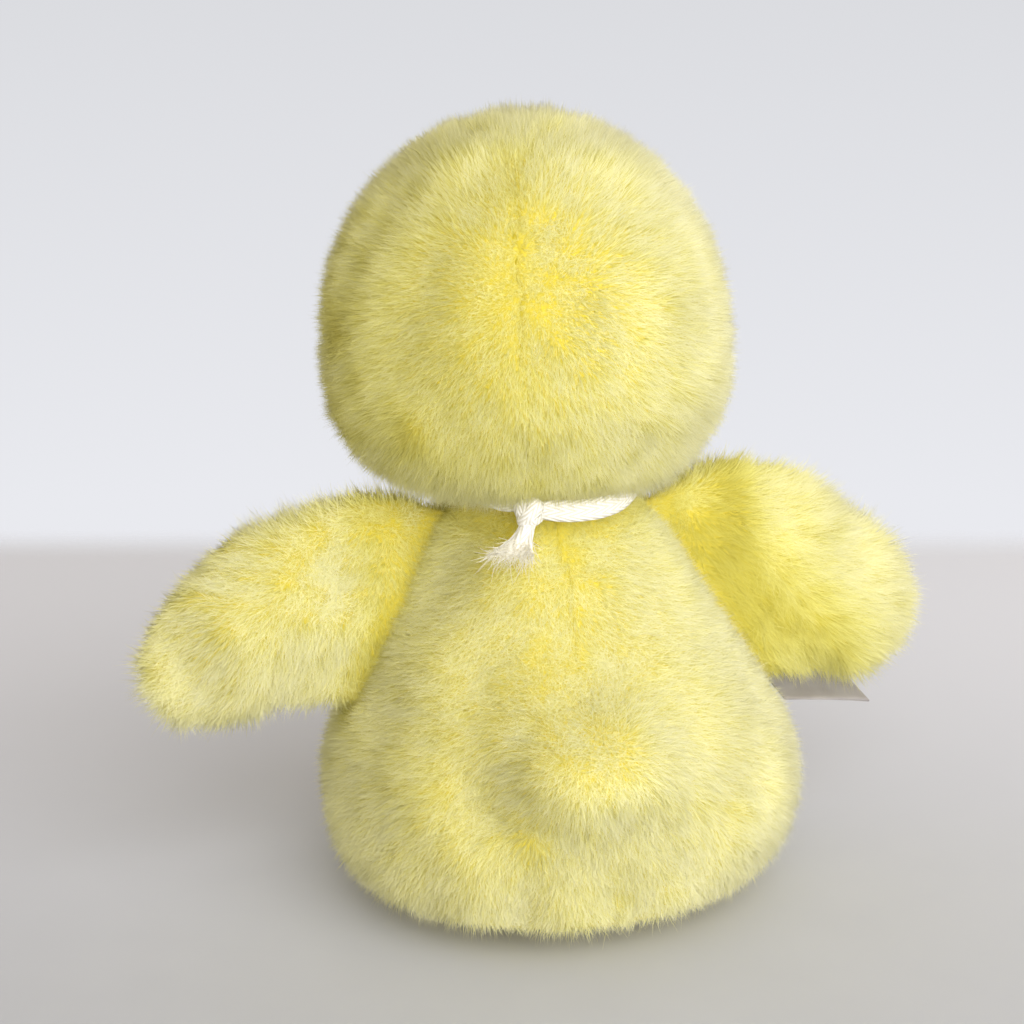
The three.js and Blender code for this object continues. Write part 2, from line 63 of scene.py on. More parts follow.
MM = 0.001
UP = Vector((0.0, 0.0, 1.0))
PILE_MAP = "OFBake"
WEAVE_MAP = "weave"
# How far apart the ripples in the pile are, and the seed of each.
SWIRL, LOCK, WISP = (26 * MM, 3), (9.0 * MM, 5), (1.5 * MM, 7)
log = logging.getLogger("plush_chick")


class Side(Enum):
    """The chick's own left and right."""

    LEFT = 1
    RIGHT = -1

    @property
    def word(self) -> str:
        """The side as it stands in the piece names."""
        return self.name.lower()


# Colours and shaders


def srgb(red: int, green: int, blue: int) -> tuple[float, float, float, float]:
    """A colour as it shows on screen, made linear.

    Args:
        red: Red from 0 to 255.
        green: Green from 0 to 255.
        blue: Blue from 0 to 255.

    Returns:
        The linear colour with full alpha.
    """
    shown = [channel / 255 for channel in (red, green, blue)]
    linear = [c / 12.92 if c <= 0.04045 else ((c + 0.055) / 1.055) ** 2.4 for c in shown]
    return (*linear, 1.0)


class Value:
    """A number that a shader works out; Python's operators add the nodes."""

    def __init__(self, shader: "Shader", socket: bpy.types.NodeSocket) -> None:
        """Keeps the shader and the socket that gives the number."""
        self.shader = shader
        self.socket = socket

    def maths(self, operation: str, *terms: "Value | float") -> "Value":
        """Adds a Math node.

        Args:
            operation: The node's operation.
            terms: Its inputs, in order.

        Returns:
            The node's result.
        """
        inputs = {index: term for index, term in enumerate(terms)}
        return self.shader.node("ShaderNodeMath", {"operation": operation}, inputs)

    def __add__(self, other: "Value | float") -> "Value":
        """This plus other."""
        return self.maths("ADD", self, other)

    __radd__ = __add__

    def __sub__(self, other: "Value | float") -> "Value":
        """This less other."""
        return self.maths("SUBTRACT", self, other)

    def __rsub__(self, other: float) -> "Value":
        """Other less this."""
        return self.maths("SUBTRACT", other, self)

    def __mul__(self, other: "Value | float") -> "Value":
        """This times other."""
        return self.maths("MULTIPLY", self, other)

    __rmul__ = __mul__

    def sine(self) -> "Value":
        """The sine of this, in radians."""
        return self.maths("SINE", self)

    def pingpong(self, size: float) -> "Value":
        """This folded to and fro between 0 and size."""
        return self.maths("PINGPONG", self, size)

    def smooth(self, low: float, high: float) -> "Value":
        """0 below low and 1 above high, with a soft step between."""
        settings = {"interpolation_type": "SMOOTHSTEP"}
        return self.shader.node("ShaderNodeMapRange", settings, {"Value": self, "From Min": low, "From Max": high})


class Shader:
    """One material's nodes, with a Principled shader at the end."""

    def __init__(self, name: str, **constants: float | tuple) -> None:
        """Makes the material.

        Args:
            name: The material's name.
            constants: Values for the shader's own sockets, with _ for a space.
        """
        self.material = bpy.data.materials.new(name)
        self.material.use_nodes = True
        self.tree = self.material.node_tree
        self.surface = next(node for node in self.tree.nodes if node.type == "BSDF_PRINCIPLED")
        for socket, value in constants.items():
            self.surface.inputs[socket.replace("_", " ")].default_value = value

    def node(self, kind: str, settings: dict, inputs: dict, output: str | int = 0) -> Value:
        """Adds any node.

        Args:
            kind: The node's type.
            settings: Its properties; stops gives a ramp's places and colours.
            inputs: Values or links for its sockets, by name or place.
            output: The socket that is wanted.

        Returns:
            The wanted output.
        """
        made = self.tree.nodes.new(kind)
        for key, value in settings.items():
            if key == "stops":
                while len(made.color_ramp.elements) < len(value):
                    made.color_ramp.elements.new(1.0)
                for element, (place, colour) in zip(made.color_ramp.elements, value):
                    element.position = place
                    element.color = colour
            else:
                setattr(made, key, value)
        for key, value in inputs.items():
            self.feed(made.inputs[key], value)
        return Value(self, made.outputs[output])

    def feed(self, socket: bpy.types.NodeSocket, value: Value | float | tuple) -> None:
        """Links a value to a socket, or sets it there.

        Args:
            socket: The socket.
            value: A value to link, or a constant.
        """
        if isinstance(value, Value):
            self.tree.links.new(value.socket, socket)
        else:
            socket.default_value = value

    def place(self, uv_map: str | None = None) -> Value:
        """Where a point is: in the object's frame, or on one of its UV maps.

        Args:
            uv_map: The map's name, or None for the object's frame.

        Returns:
            The place.
        """
        if uv_map:
            return self.node("ShaderNodeUVMap", {"uv_map": uv_map}, {})
        return self.node("ShaderNodeTexCoord", {}, {}, "Object")

    def apart(self, vector: Value, axis: str) -> Value:
        """One axis of a vector."""
        return self.node("ShaderNodeSeparateXYZ", {}, {0: vector}, axis)

    def noise(self, scale: float, detail: float = 3.0) -> Value:
        """Soft noise with features about 1 / scale metres wide."""
        inputs = {"Vector": self.place(), "Scale": scale, "Detail": detail}
        return self.node("ShaderNodeTexNoise", {}, inputs)

    def ramp(self, value: Value, *stops: tuple[float, tuple]) -> Value:
        """A colour for each value, from stops of place and colour."""
        return self.node("ShaderNodeValToRGB", {"stops": stops}, {0: value})

    def mix(self, share: Value | float, first: Value | tuple, second: Value | tuple) -> Value:
        """Blends two colours."""
        return self.node("ShaderNodeMix", {"data_type": "RGBA"}, {0: share, 6: first, 7: second}, 2)

    def bump(self, height: Value, distance: float) -> None:
        """Raises the surface by height times distance, in metres."""
        inputs = {"Height": height, "Distance": distance, "Strength": 1.0}
        self.feed(self.surface.inputs["Normal"], self.node("ShaderNodeBump", {}, inputs))

    def dress(self, **links: Value) -> bpy.types.Material:
        """Links what varies to the shader's sockets, with _ for a space, and hands the material over.

        Args:
            links: The values, by socket.

        Returns:
            The material.
        """
        for socket, value in links.items():
            self.feed(self.surface.inputs[socket.replace("_", " ")], value)
        return self.material


# Finishes


@dataclass(frozen=True)
class PileFinish:
    """Plush fibres: deep yellow at the root, painted shade for the depth among fibres that cast no shadows, and
    pale at the tip, with a tone of their own.
    """

    name: str = "plush_pile"
    # The deep root colours are painted shade for the depth among the fibres.
    root: tuple = srgb(216, 202, 72)
    middle: tuple = srgb(244, 236, 130)
    tip: tuple = srgb(250, 246, 190)
    pale_middle: tuple = srgb(245, 240, 170)
    pale_tip: tuple = srgb(251, 248, 222)
    # Emission strength: painted light for light scattered through the fibres.
    glow: float = 0.1

    def material(self) -> bpy.types.Material:
        """Reads a fibre's tone and the place along it from its UV map, and emits a little painted light, most at
        the tips, for light scattered through the fibres.

        Returns:
            The material.
        """
        shader = Shader(self.name, Roughness=0.8, Specular_IOR_Level=0.1, Emission_Strength=self.glow)
        where = shader.place(PILE_MAP)
        tone = shader.apart(where, "X")
        along = shader.apart(where, "Y")
        warm = shader.ramp(along, (0.0, self.root), (0.5, self.middle), (1.0, self.tip))
        pale = shader.ramp(along, (0.0, self.root), (0.45, self.pale_middle), (1.0, self.pale_tip))
        colour = shader.mix(tone, warm, pale)
        return shader.dress(Base_Color=colour, Emission_Color=shader.mix(along, (0.0, 0.0, 0.0, 1.0), colour))


@dataclass(frozen=True)
class BackingFinish:
    """The knitted cloth that the pile is rooted in, in yellows deeper than the pile's: painted shade for the depth
    under the pile.
    """

    cloth: tuple = srgb(236, 221, 100)
    deep: tuple = srgb(218, 200, 70)
    knit: float = 900.0

    def material(self) -> bpy.types.Material:
        """Fine knit with soft patches.

        Returns:
            The material.
        """
        shader = Shader("plush_backing", Roughness=0.95, Specular_IOR_Level=0.1)
        knit = shader.noise(self.knit, 2.0)
        patches = shader.noise(60.0)
        shader.bump(knit, 0.3 * MM)
        colour = shader.mix(patches, self.cloth, self.deep)
        return shader.dress(Base_Color=shader.mix(knit * 0.5, colour, self.deep))


@dataclass(frozen=True)
class FibreFinish:
    """Loose white stuffing."""

    light: tuple = srgb(243, 241, 235)
    shade: tuple = srgb(214, 211, 203)

    def material(self) -> bpy.types.Material:
        """Matted fibres.

        Returns:
            The material.
        """
        shader = Shader("fibre_stuffing", Roughness=0.95, Specular_IOR_Level=0.2)
        fibres = shader.noise(400.0, 6.0)
        shader.bump(fibres, 1.2 * MM)
        return shader.dress(Base_Color=shader.mix(fibres, self.shade, self.light))


@dataclass(frozen=True)
class FeltFinish:
    """Pressed orange felt."""

    light: tuple = srgb(242, 150, 48)
    deep: tuple = srgb(205, 104, 22)

    def material(self) -> bpy.types.Material:
        """Felt with matted fibres and soft patches.

        Returns:
            The material.
        """
        shader = Shader("orange_felt", Roughness=0.95, Specular_IOR_Level=0.15, Sheen_Weight=0.3)
        fibres = shader.noise(1500.0, 5.0)
        patches = shader.noise(150.0)
        shader.bump(fibres, 0.25 * MM)
        colour = shader.mix(patches.smooth(0.3, 0.7), self.deep, self.light)
        return shader.dress(Base_Color=shader.mix(fibres.smooth(0.35, 0.75) * 0.5, colour, self.light))


@dataclass(frozen=True)
class EyeFinish:
    """Polished black plastic with a little dust."""

    black: tuple = srgb(14, 12, 11)
    dust: tuple = srgb(40, 37, 34)

    def material(self) -> bpy.types.Material:
        """Gloss under a clear coat.

        Returns:
            The material.
        """
        shader = Shader("black_eye", Coat_Weight=0.6, Coat_Roughness=0.04)
        specks = shader.noise(900.0, 4.0).smooth(0.6, 0.78)
        return shader.dress(Base_Color=shader.mix(specks, self.black, self.dust), Roughness=0.08 + specks * 0.12)


@dataclass(frozen=True)
class WasherFinish:
    """Moulded white plastic."""

    white: tuple = srgb(232, 230, 224)
    grey: tuple = srgb(208, 205, 198)

    def material(self) -> bpy.types.Material:
        """Satin plastic with flow marks.

        Returns:
            The material.
        """
        shader = Shader("white_washer", Specular_IOR_Level=0.4)
        flow = shader.noise(300.0)
        return shader.dress(Base_Color=shader.mix(flow, self.white, self.grey), Roughness=0.4 + flow * 0.2)


@dataclass(frozen=True)
class TwillFinish:
    """White cotton tape in a herringbone weave.

    Attributes:
        yarn: The yarns' colour.
        gap: The colour between them.
        pitch: How far apart the yarns are, in millimetres.
        rib: How wide each rib is, in millimetres.
        slope: How much the yarns slant.
    """

    yarn: tuple = srgb(251, 249, 243)
    gap: tuple = srgb(222, 217, 201)
    pitch: float = 0.78
    rib: float = 1.25
    slope: float = 0.28

    def material(self) -> bpy.types.Material:
        """Slanting yarns that turn at each rib; the UV map is in millimetres.

        Returns:
            The material.
        """
        shader = Shader("cotton_tape", Roughness=0.9, Specular_IOR_Level=0.2, Sheen_Weight=0.2)
        where = shader.place(WEAVE_MAP)
        slant = shader.apart(where, "X") * self.slope + shader.apart(where, "Y").pingpong(self.rib)
        yarns = (slant * (2 * math.pi / self.pitch)).sine() * 0.5 + 0.5
        fuzz = shader.noise(2500.0, 4.0)
        height = yarns * 0.7 + fuzz * 0.5
        shader.bump(height, 0.18 * MM)
        return shader.dress(Base_Color=shader.mix(height.smooth(0.15, 0.8), self.gap, self.yarn))


@dataclass(frozen=True)
class ThreadFinish:
    """Loose white cotton threads."""

    light: tuple = srgb(253, 251, 242)
    shade: tuple = srgb(228, 220, 196)

    def material(self) -> bpy.types.Material:
        """Spun cotton, a little uneven.

        Returns:
            The material.
        """
        shader = Shader("cotton_thread", Roughness=0.9, Specular_IOR_Level=0.2)
        spun = shader.noise(2500.0, 3.0)
        return shader.dress(Base_Color=shader.mix(spun.smooth(0.3, 0.6), self.shade, self.light))


@dataclass(frozen=True)
class SatinFinish:
    """White satin ribbon, painted grey: painted shade, as the label lies in shade under the wing."""

    # Both greys are painted shade on a white ribbon.
    light: tuple = srgb(176, 171, 171)
    shade: tuple = srgb(152, 145, 145)
    thread: float = 0.3

    def material(self) -> bpy.types.Material:
        """Close threads across the ribbon with a silky gleam.

        Returns:
            The material.
        """
        shader = Shader("satin_label", Specular_IOR_Level=0.5, Sheen_Weight=0.2)
        where = shader.place(WEAVE_MAP)
        threads = (shader.apart(where, "X") * (2 * math.pi / self.thread)).sine() * 0.5 + 0.5
        wear = shader.noise(180.0)
        shader.bump(threads, 0.05 * MM)
        colour = shader.mix(wear.smooth(0.35, 0.7) * 0.6, self.light, self.shade)
        return shader.dress(
            Base_Color=shader.mix(threads * 0.25, colour, self.shade), Roughness=0.32 + threads * 0.15)


# Mesh helpers


def new_object(name: str, data: bpy.types.ID) -> bpy.types.Object:
    """Puts a mesh, a lamp or a camera in the scene.

    Args:
        name: Its name.
        data: Its mesh, lamp or camera data.

    Returns:
        The object.
    """
    made = bpy.data.objects.new(name, data)
    bpy.context.scene.collection.objects.link(made)
    return made


def from_bmesh(name: str, bm: bmesh.types.BMesh, smooth: bool = True) -> bpy.types.Object:
    """Turns a bmesh into an object and frees it.

    Args:
        name: The piece's name.
        bm: The finished bmesh.
        smooth: Whether its faces are shaded smooth.

    Returns:
        The object.
    """
    mesh = bpy.data.meshes.new(name)
    bm.to_mesh(mesh)
    bm.free()
    mesh.polygons.foreach_set("use_smooth", [smooth] * len(mesh.polygons))
    return new_object(name, mesh)


def settled(made: bpy.types.Object) -> bpy.types.Object:
    """Applies an object's modifiers to its mesh.

    Args:
        made: The object.

    Returns:
        The same object.
    """
    shown = made.evaluated_get(bpy.context.evaluated_depsgraph_get())
    mesh = bpy.data.meshes.new_from_object(shown)
    made.modifiers.clear()
    made.data = mesh
    return made


def merged(*nodes: str) -> bmesh.types.BMesh:
    """A bmesh copy of CAD nodes with their corners merged.

    Args:
        nodes: The nodes.

    Returns:
        The bmesh, for the caller to free.
    """
    bm = bmesh.new()
    for node in nodes:
        bm.from_mesh(frame["nodes"][node].data)
    bmesh.ops.remove_doubles(bm, verts=bm.verts, dist=1e-6)
    return bm


def node_tree(*nodes: str) -> BVHTree:
    """A search tree of CAD nodes' faces.

    Args:
        nodes: The nodes.

    Returns:
        The tree.
    """
    bm = merged(*nodes)
    tree = BVHTree.FromBMesh(bm)
    bm.free()
    return tree


def distance_to(tree: BVHTree, points: np.ndarray) -> np.ndarray:
    """How far points are from a surface."""
    return np.array([tree.find_nearest(Vector(point))[3] for point in points])


def keep_outside(bm: bmesh.types.BMesh) -> None:
    """Takes out every island but the largest.

    Args:
        bm: The bmesh.
    """
    left = set(bm.verts)
    islands = []
    while left:
        front = [left.pop()]
        island = []
        while front:
            vert = front.pop()
            island.append(vert)
            joined = {edge.other_vert(vert) for edge in vert.link_edges} & left
            left -= joined
            front.extend(joined)
        islands.append(island)
    islands.sort(key=len)
    bmesh.ops.delete(bm, geom=[vert for island in islands[:-1] for vert in island], context="VERTS")


def soften(bm: bmesh.types.BMesh, verts: list[bmesh.types.BMVert], rounds: int) -> None:
    """Smooths corners of a bmesh, some rounds over."""
    for _ in range(rounds):
        bmesh.ops.smooth_vert(bm, verts=verts, factor=0.5, use_axis_x=True, use_axis_y=True, use_axis_z=True)


def remeshed(nodes: tuple[str, ...], name: str, voxel: float, rounds: int = 3) -> bpy.types.Object:
    """Makes one even surface round CAD nodes.

    Args:
        nodes: The nodes.
        name: The surface's name.
        voxel: Its mesh size.
        rounds: How many times it is smoothed.

    Returns:
        The surface.
    """
    made = from_bmesh(name, merged(*nodes))
    remesh = made.modifiers.new("remesh", "REMESH")
    remesh.mode = "VOXEL"
    remesh.voxel_size = voxel
    remesh.use_smooth_shade = True
    settled(made)
    bm = bmesh.new()
    bm.from_mesh(made.data)
    keep_outside(bm)
    soften(bm, list(bm.verts), rounds)
    bm.to_mesh(made.data)
    bm.free()
    return made


def joint_of(body: str) -> tuple[Vector, Vector]:
    """Where a body's joint is, and its axis."""
    joint = next(each for each in frame["joints"] if each["child"] == body)
    return Vector(joint["pos_m"]), Vector(joint["axis"]).normalized()


def array_of(mesh: bpy.types.Mesh, items: str, attribute: str, width: int, kind: type = np.float32) -> np.ndarray:
    """Reads one attribute of a mesh's items.

    Args:
        mesh: The mesh.
        items: The collection's name, such as vertices.
        attribute: The attribute's name.
        width: How many numbers each item has.
        kind: The number type.

    Returns:
        One row for each item.
    """
    found = getattr(mesh, items)
    numbers = np.zeros(len(found) * width, kind)
    found.foreach_get(attribute, numbers)
    return numbers.reshape(-1, width).astype(float if kind is np.float32 else kind)


def unit(vectors: np.ndarray) -> np.ndarray:
    """Rows scaled to length one."""
    return vectors / np.maximum(np.linalg.norm(vectors, axis=1, keepdims=True), 1e-12)


def along_surface(vectors: np.ndarray, normals: np.ndarray) -> np.ndarray:
    """Rows with their part along the normals taken off."""
    return vectors - normals * (vectors * normals).sum(1, keepdims=True)


def ripples(points: np.ndarray, span: float, seed: int, count: int = 20) -> tuple[np.ndarray, np.ndarray]:
    """Smooth seeded noise from plane waves.

    Args:
        points: Where it is wanted.
        span: About how far apart its crests are.
        seed: Which noise it is.
        count: How many waves it has.

    Returns:
        The height at each point, about -1 to 1, and the uphill direction, about one long.
    """
    rng = np.random.default_rng(seed)
    turns = unit(rng.normal(size=(count, 3))) * rng.uniform(0.7, 1.4, (count, 1)) * 2 * math.pi / span
    phases = points @ turns.T + rng.uniform(0, 2 * math.pi, count)
    scale = math.sqrt(1 / count)
    return np.sin(phases).sum(1) * scale, (np.cos(phases) @ turns) * (scale * span / (2 * math.pi))


def aside_of(line: tuple, points: np.ndarray) -> np.ndarray:
    """The way to points from a line whose two ends are in millimetres.

    Args:
        line: The line's ends.
        points: The points.

    Returns:
        One row for each point.
    """
    start, end = (np.array(place) * MM for place in line)
    share = np.clip((points - start) @ (end - start) / ((end - start) @ (end - start)), 0, 1)
    return points - (start + share[:, None] * (end - start))


def ribbon(name: str, middle: Sequence[Vector], across: Sequence[Vector], thickness: float,
           rows: int = 6, crown: float = 0.0) -> bpy.types.Object:
    """A strip of cloth that follows a line.

    Args:
        name: The piece's name.
        middle: Points of its middle line.
        across: For each point, the way from the middle to one edge.
        thickness: The cloth's thickness.
        rows: Faces across the strip.
        crown: How far its edges lie below its middle.

    Returns:
        The strip, with a UV map in millimetres along and across it.
    """
    bm = bmesh.new()
    steps = len(middle) - 1
    bmesh.ops.create_grid(bm, x_segments=steps, y_segments=rows, size=1.0)
    walked = [0.0]
    for here, there in zip(middle, middle[1:]):
        walked.append(walked[-1] + (there - here).length / MM)
    weave = bm.loops.layers.uv.new(WEAVE_MAP)
    for face in bm.faces:
        for loop in face.loops:
            index = round((loop.vert.co.x + 1) / 2 * steps)
            loop[weave].uv = (walked[index], loop.vert.co.y * across[index].length / MM)
    for vert in bm.verts:
        index = round((vert.co.x + 1) / 2 * steps)
        ahead = middle[min(index + 1, steps)] - middle[max(index - 1, 0)]
        below = across[index].cross(ahead).normalized() * crown * vert.co.y**2
        vert.co = middle[index] + across[index] * vert.co.y + below
    bmesh.ops.recalc_face_normals(bm, faces=bm.faces)
    bmesh.ops.solidify(bm, geom=bm.faces, thickness=thickness)
    bmesh.ops.recalc_face_normals(bm, faces=bm.faces)
    return from_bmesh(name, bm)


# The stuffed plush forms


@dataclass
class Skin:
    """A stuffed form's cloth, as arrays.

    Attributes:
        points: Its corners.
        normals: The outward direction at each corner.
        triangles: Three corners each.
        panel: Which panel each triangle belongs to.
        seam: Each corner's distance from the nearest seam.
        away: The direction away from that seam.
    """

    points: np.ndarray
    normals: np.ndarray
    triangles: np.ndarray
    panel: np.ndarray
    seam: np.ndarray
    away: np.ndarray

    @classmethod
    def plain(cls, mesh: bpy.types.Mesh) -> "Skin":
        """Reads a mesh that has no seams.

        Args:
            mesh: The mesh.

        Returns:
            The skin.
        """
        mesh.calc_loop_triangles()
        points = array_of(mesh, "vertices", "co", 3)
        triangles = array_of(mesh, "loop_triangles", "vertices", 3, np.int32)
        far = np.full(len(points), 1.0)
        panel = np.zeros(len(triangles), np.int32)
        return cls(points, array_of(mesh, "vertices", "normal", 3), triangles, panel, far, np.zeros_like(points))


@dataclass(frozen=True)
class Groom:
    """How a form's pile is brushed, cut and shaded.

    Attributes:
        comb: Gives the way the pile is brushed at points; a longer way leans more.
        trim: Gives the share of its length each fibre keeps, from roots and normals; 0 takes it out.
        tint: Gives how much paler each fibre is, or deeper below 0, with painted light and painted shade in
            places.
    """

    comb: Callable[[np.ndarray], np.ndarray]
    trim: Callable[[np.ndarray, np.ndarray], np.ndarray]
    tint: Callable[[np.ndarray], np.ndarray]


@dataclass
class Roots:
    """Where a pile's fibres are rooted, as arrays with a row for each.

    Attributes:
        places: The roots.
        normals: The cloth's outward direction there.
        away: The direction away from the nearest seam.
        seam: The distance from it.
        keep: The share of its length each fibre keeps; a shorter fibre also ends lower on its colours, which is
            painted shade.
        share: The share of the fibres that grow there.
    """

    places: np.ndarray
    normals: np.ndarray
    away: np.ndarray
    seam: np.ndarray
    keep: np.ndarray
    share: np.ndarray

    def only(self, held: np.ndarray) -> "Roots":
        """The roots that are held."""
        return Roots(*(getattr(self, each.name)[held] for each in fields(self)))


@dataclass(frozen=True)
class Pile:
    """How a panel's pile grows.

    Attributes:
        length: A fibre's length.
        width: Its width at the root.
        lean: Its angle from upright, in degrees.
        tuft: How far tips gather into tufts, as a share of the length.
        stray: How far fibres stray from the comb.
        per_mm2: Fibres on each square millimetre.
        front: The share of them where the cloth faces forwards, each as much wider.
        most: The most fibres in one mesh.
    """

    length: float = 4.5 * MM
    width: float = 0.15 * MM
    lean: float = 27.0
    tuft: float = 0.3
    stray: float = 0.4
    per_mm2: float = 10.85
    front: float = 0.65
    most: int = 65000

    def grow(self, name: str, skin: Skin, faces: np.ndarray, groom: Groom, seed: int) -> list[bpy.types.Object]:
        """Grows the pile on some of a skin's triangles.

        Args:
            name: The pile's name.
            skin: The cloth it is rooted in.
            faces: The triangles' numbers.
            groom: How it is brushed, cut and shaded.
            seed: Which scatter it is.

        Returns:
            The pile, in as many meshes as it needs.
        """
        rng = np.random.default_rng(seed)
        roots = self.scatter(rng, skin, skin.triangles[faces], groom)
        points, facing, tone, ends = self.spikes(rng, roots, groom)
        parts = math.ceil(len(points) / self.most)
        names = [name] if parts == 1 else [f"{name}_{part + 1}" for part in range(parts)]
        return [self.mesh(each, *(values[part::parts] for values in (points, facing, tone, ends)))
                for part, each in enumerate(names)]

    def scatter(self, rng: np.random.Generator, skin: Skin, corners: np.ndarray, groom: Groom) -> Roots:
        """Scatters roots over triangles.

        Args:
            rng: The seeded scatter.
            skin: The cloth.
            corners: The triangles' corners.
            groom: How the pile is cut.

        Returns:
            The roots that are kept.
        """
        sides = skin.points[corners]
        areas = np.linalg.norm(np.cross(sides[:, 1] - sides[:, 0], sides[:, 2] - sides[:, 0]), axis=1) / 2
        count = int(areas.sum() / MM**2 * self.per_mm2)
        reach = np.cumsum(areas) / areas.sum()
        even = (np.arange(count) + rng.random(count)) / count
        picked = np.minimum(np.searchsorted(reach, even), len(corners) - 1)
        first, second = rng.random((2, count, 1))
        over = first + second > 1
        first, second = np.where(over, 1 - first, first), np.where(over, 1 - second, second)
        shares = np.stack([1 - first - second, first, second], axis=1)
        places, normals, away = (
            (values[corners[picked]] * shares).sum(1) for values in (skin.points, skin.normals, skin.away))
        seam = (skin.seam[corners[picked], None] * shares).sum(1)[:, 0]
        normals = unit(normals)
        keep = groom.trim(places, normals)
        share = 1 - (1 - self.front) * np.clip(-1.6 * normals[:, 1], 0, 1)
        held = (keep > 0) & (rng.random(count) < share)
        return Roots(places, normals, away, seam, keep, share).only(held)

    def spikes(self, rng: np.random.Generator, roots: Roots,
               groom: Groom) -> tuple[np.ndarray, np.ndarray, np.ndarray, np.ndarray]:
        """Grows a slim spike from each root.

        Args:
            rng: The seeded scatter.
            roots: Where the fibres are rooted.
            groom: How they are brushed and shaded.

        Returns:
            Three root corners and the tip of each fibre, the shading directions of its three facets' corners,
            its tone, and how far along a whole fibre's colours its tip is.
        """
        places, normals, count = roots.places, roots.normals, len(roots.places)
        comb = groom.comb(places)
        swirl = ripples(places, *SWIRL)
        parted = (np.exp(-roots.seam / (3.0 * MM)) * np.clip(0.55 + 0.6 * swirl[0], 0.15, 1.0))[:, None]
        lock = ripples(places, *LOCK)
        wisp = ripples(places, *WISP)
        way = along_surface(comb, normals) + parted * along_surface(roots.away, normals)
        nap = along_surface(swirl[1] + 0.5 * lock[1], normals)
        way += 0.6 * nap
        way += self.stray * (1 - 0.6 * parted) * rng.normal(size=(count, 3))
        way = unit(along_surface(way, normals))
        gather = along_surface(lock[1] * 0.45 + wisp[1] * 0.6, normals) * self.tuft
        lean = self.lean * np.linalg.norm(comb, axis=1) + 16 * np.clip(-normals[:, 2], 0, 1)
        lean += 7 * swirl[0] + 5 * lock[0] + 14 * parted[:, 0] + rng.normal(0, 13, count)
        lean = np.radians(np.clip(lean, 2, 70))[:, None]
        uneven = 1 + 0.08 * lock[0] + 0.1 * wisp[0] + rng.normal(0, 0.17, count)
        length = self.length * roots.keep * uneven * (1 - 0.3 * parted[:, 0])
        length = np.clip(length, 0.6 * MM, None)[:, None]
        ahead = unit(normals * np.cos(lean) + way * np.sin(lean) + gather)
        tips = places + ahead * length
        turn = rng.uniform(0, 2 * math.pi, (count, 1))
        first = unit(np.cross(ahead, normals + [0.013, 0.007, 0.011]))
        second = np.cross(ahead, first)
        thick = self.width / 2 * rng.uniform(0.75, 1.3, (count, 1)) / roots.share[:, None]
        points, facing = [], []
        rim = np.clip(0.5 - 1.5 * normals[:, 1:2], 0, 1)
        smooth = normals + 0.2 * nap - 0.08 * gather / max(self.tuft, 0.01)
        smooth = unit(smooth + 0.08 * rng.normal(size=(count, 3)))
        for corner in range(3):
            spoke, facet = (turn + (corner + half) * 2 * math.pi / 3 for half in (0.0, 0.5))
            points.append(places - normals * 0.4 * MM + (first * np.cos(spoke) + second * np.sin(spoke)) * thick)
            flank = first * np.cos(facet) + second * np.sin(facet)
            under = np.clip(-2 * (flank * normals).sum(1, keepdims=True), 0, 1)
            turned = smooth * (1 - (0.5 + 0.4 * rim) * under) + (0.35 + 0.5 * rim) * under * flank
            root_way, tip_way = unit(turned + 0.08 * flank), unit(turned + 0.14 * flank + 0.1 * ahead)
            facing += [root_way, root_way, tip_way]
        points = np.stack([*points, tips], axis=1)
        facing = np.stack(facing, axis=1)
        points[..., 2] = np.maximum(points[..., 2], 0.1 * MM)
        tone = 0.59 + 0.1 * swirl[0] + 0.07 * lock[0] + 0.07 * wisp[0] + rng.normal(0, 0.07, count)
        # Painted light and shade from the form, and painted shade along the partings at the seams.
        tone += groom.tint(places) - 0.24 * parted[:, 0]
        # Painted shade: shorter fibres, fibres on partings and deeper ones end lower on their colours, nearer the
        # deep root.
        ends = roots.keep * (1 - 0.35 * parted[:, 0]) + 0.05 * wisp[0] + rng.normal(0, 0.05, count)
        ends = np.clip(ends + 1.2 * np.minimum(tone, 0), 0.3, 1.0)
        return points, facing, np.clip(tone, 0.06, 0.94), ends

    def mesh(self, name: str, points: np.ndarray, facing: np.ndarray, tone: np.ndarray,
             ends: np.ndarray) -> bpy.types.Object:
        """Makes one mesh of fibres.

        Args:
            name: The pile's name.
            points: The corners of each fibre.
            facing: The shading directions of its facets' corners.
            tone: Each fibre's tone, from 0 to 1.
            ends: How far along the colours its tip is.

        Returns:
            The pile, with tone and place along the fibre in its UV map.
        """
        count = len(points)
        spike = np.array([(0, 1, 3), (1, 2, 3), (2, 0, 3)], np.int32)
        loops = (spike.ravel()[None, :] + 4 * np.arange(count, dtype=np.int32)[:, None]).ravel()
        mesh = bpy.data.meshes.new(name)
        mesh.vertices.add(4 * count)
        mesh.vertices.foreach_set("co", points.astype(np.float32).ravel())
        mesh.loops.add(len(loops))
        mesh.loops.foreach_set("vertex_index", loops)
        mesh.polygons.add(3 * count)
        mesh.polygons.foreach_set("loop_start", np.arange(3 * count, dtype=np.int32) * 3)
        mesh.update(calc_edges=True)
        mesh.attributes.new("custom_normal", "FLOAT_VECTOR", "CORNER")
        mesh.attributes["custom_normal"].data.foreach_set("vector", facing.astype(np.float32).ravel())
        shift = np.array([-0.03, 0.03, 0.0, 0.0])
        along = np.array([0.0, 0.0, 0.03, 1.0])
        tones = tone[:, None] + (0.5 - tone[:, None]) * np.array([0.6, 0.6, 0.6, 0.0]) + shift
        map_points = np.stack([tones, ends[:, None] * along[None, :]], axis=2)
        pile_map = mesh.uv_layers.new(name=PILE_MAP)
        pile_map.uv.foreach_set("vector", map_points.reshape(-1, 2)[loops].astype(np.float32).ravel())
        return new_object(name, mesh)


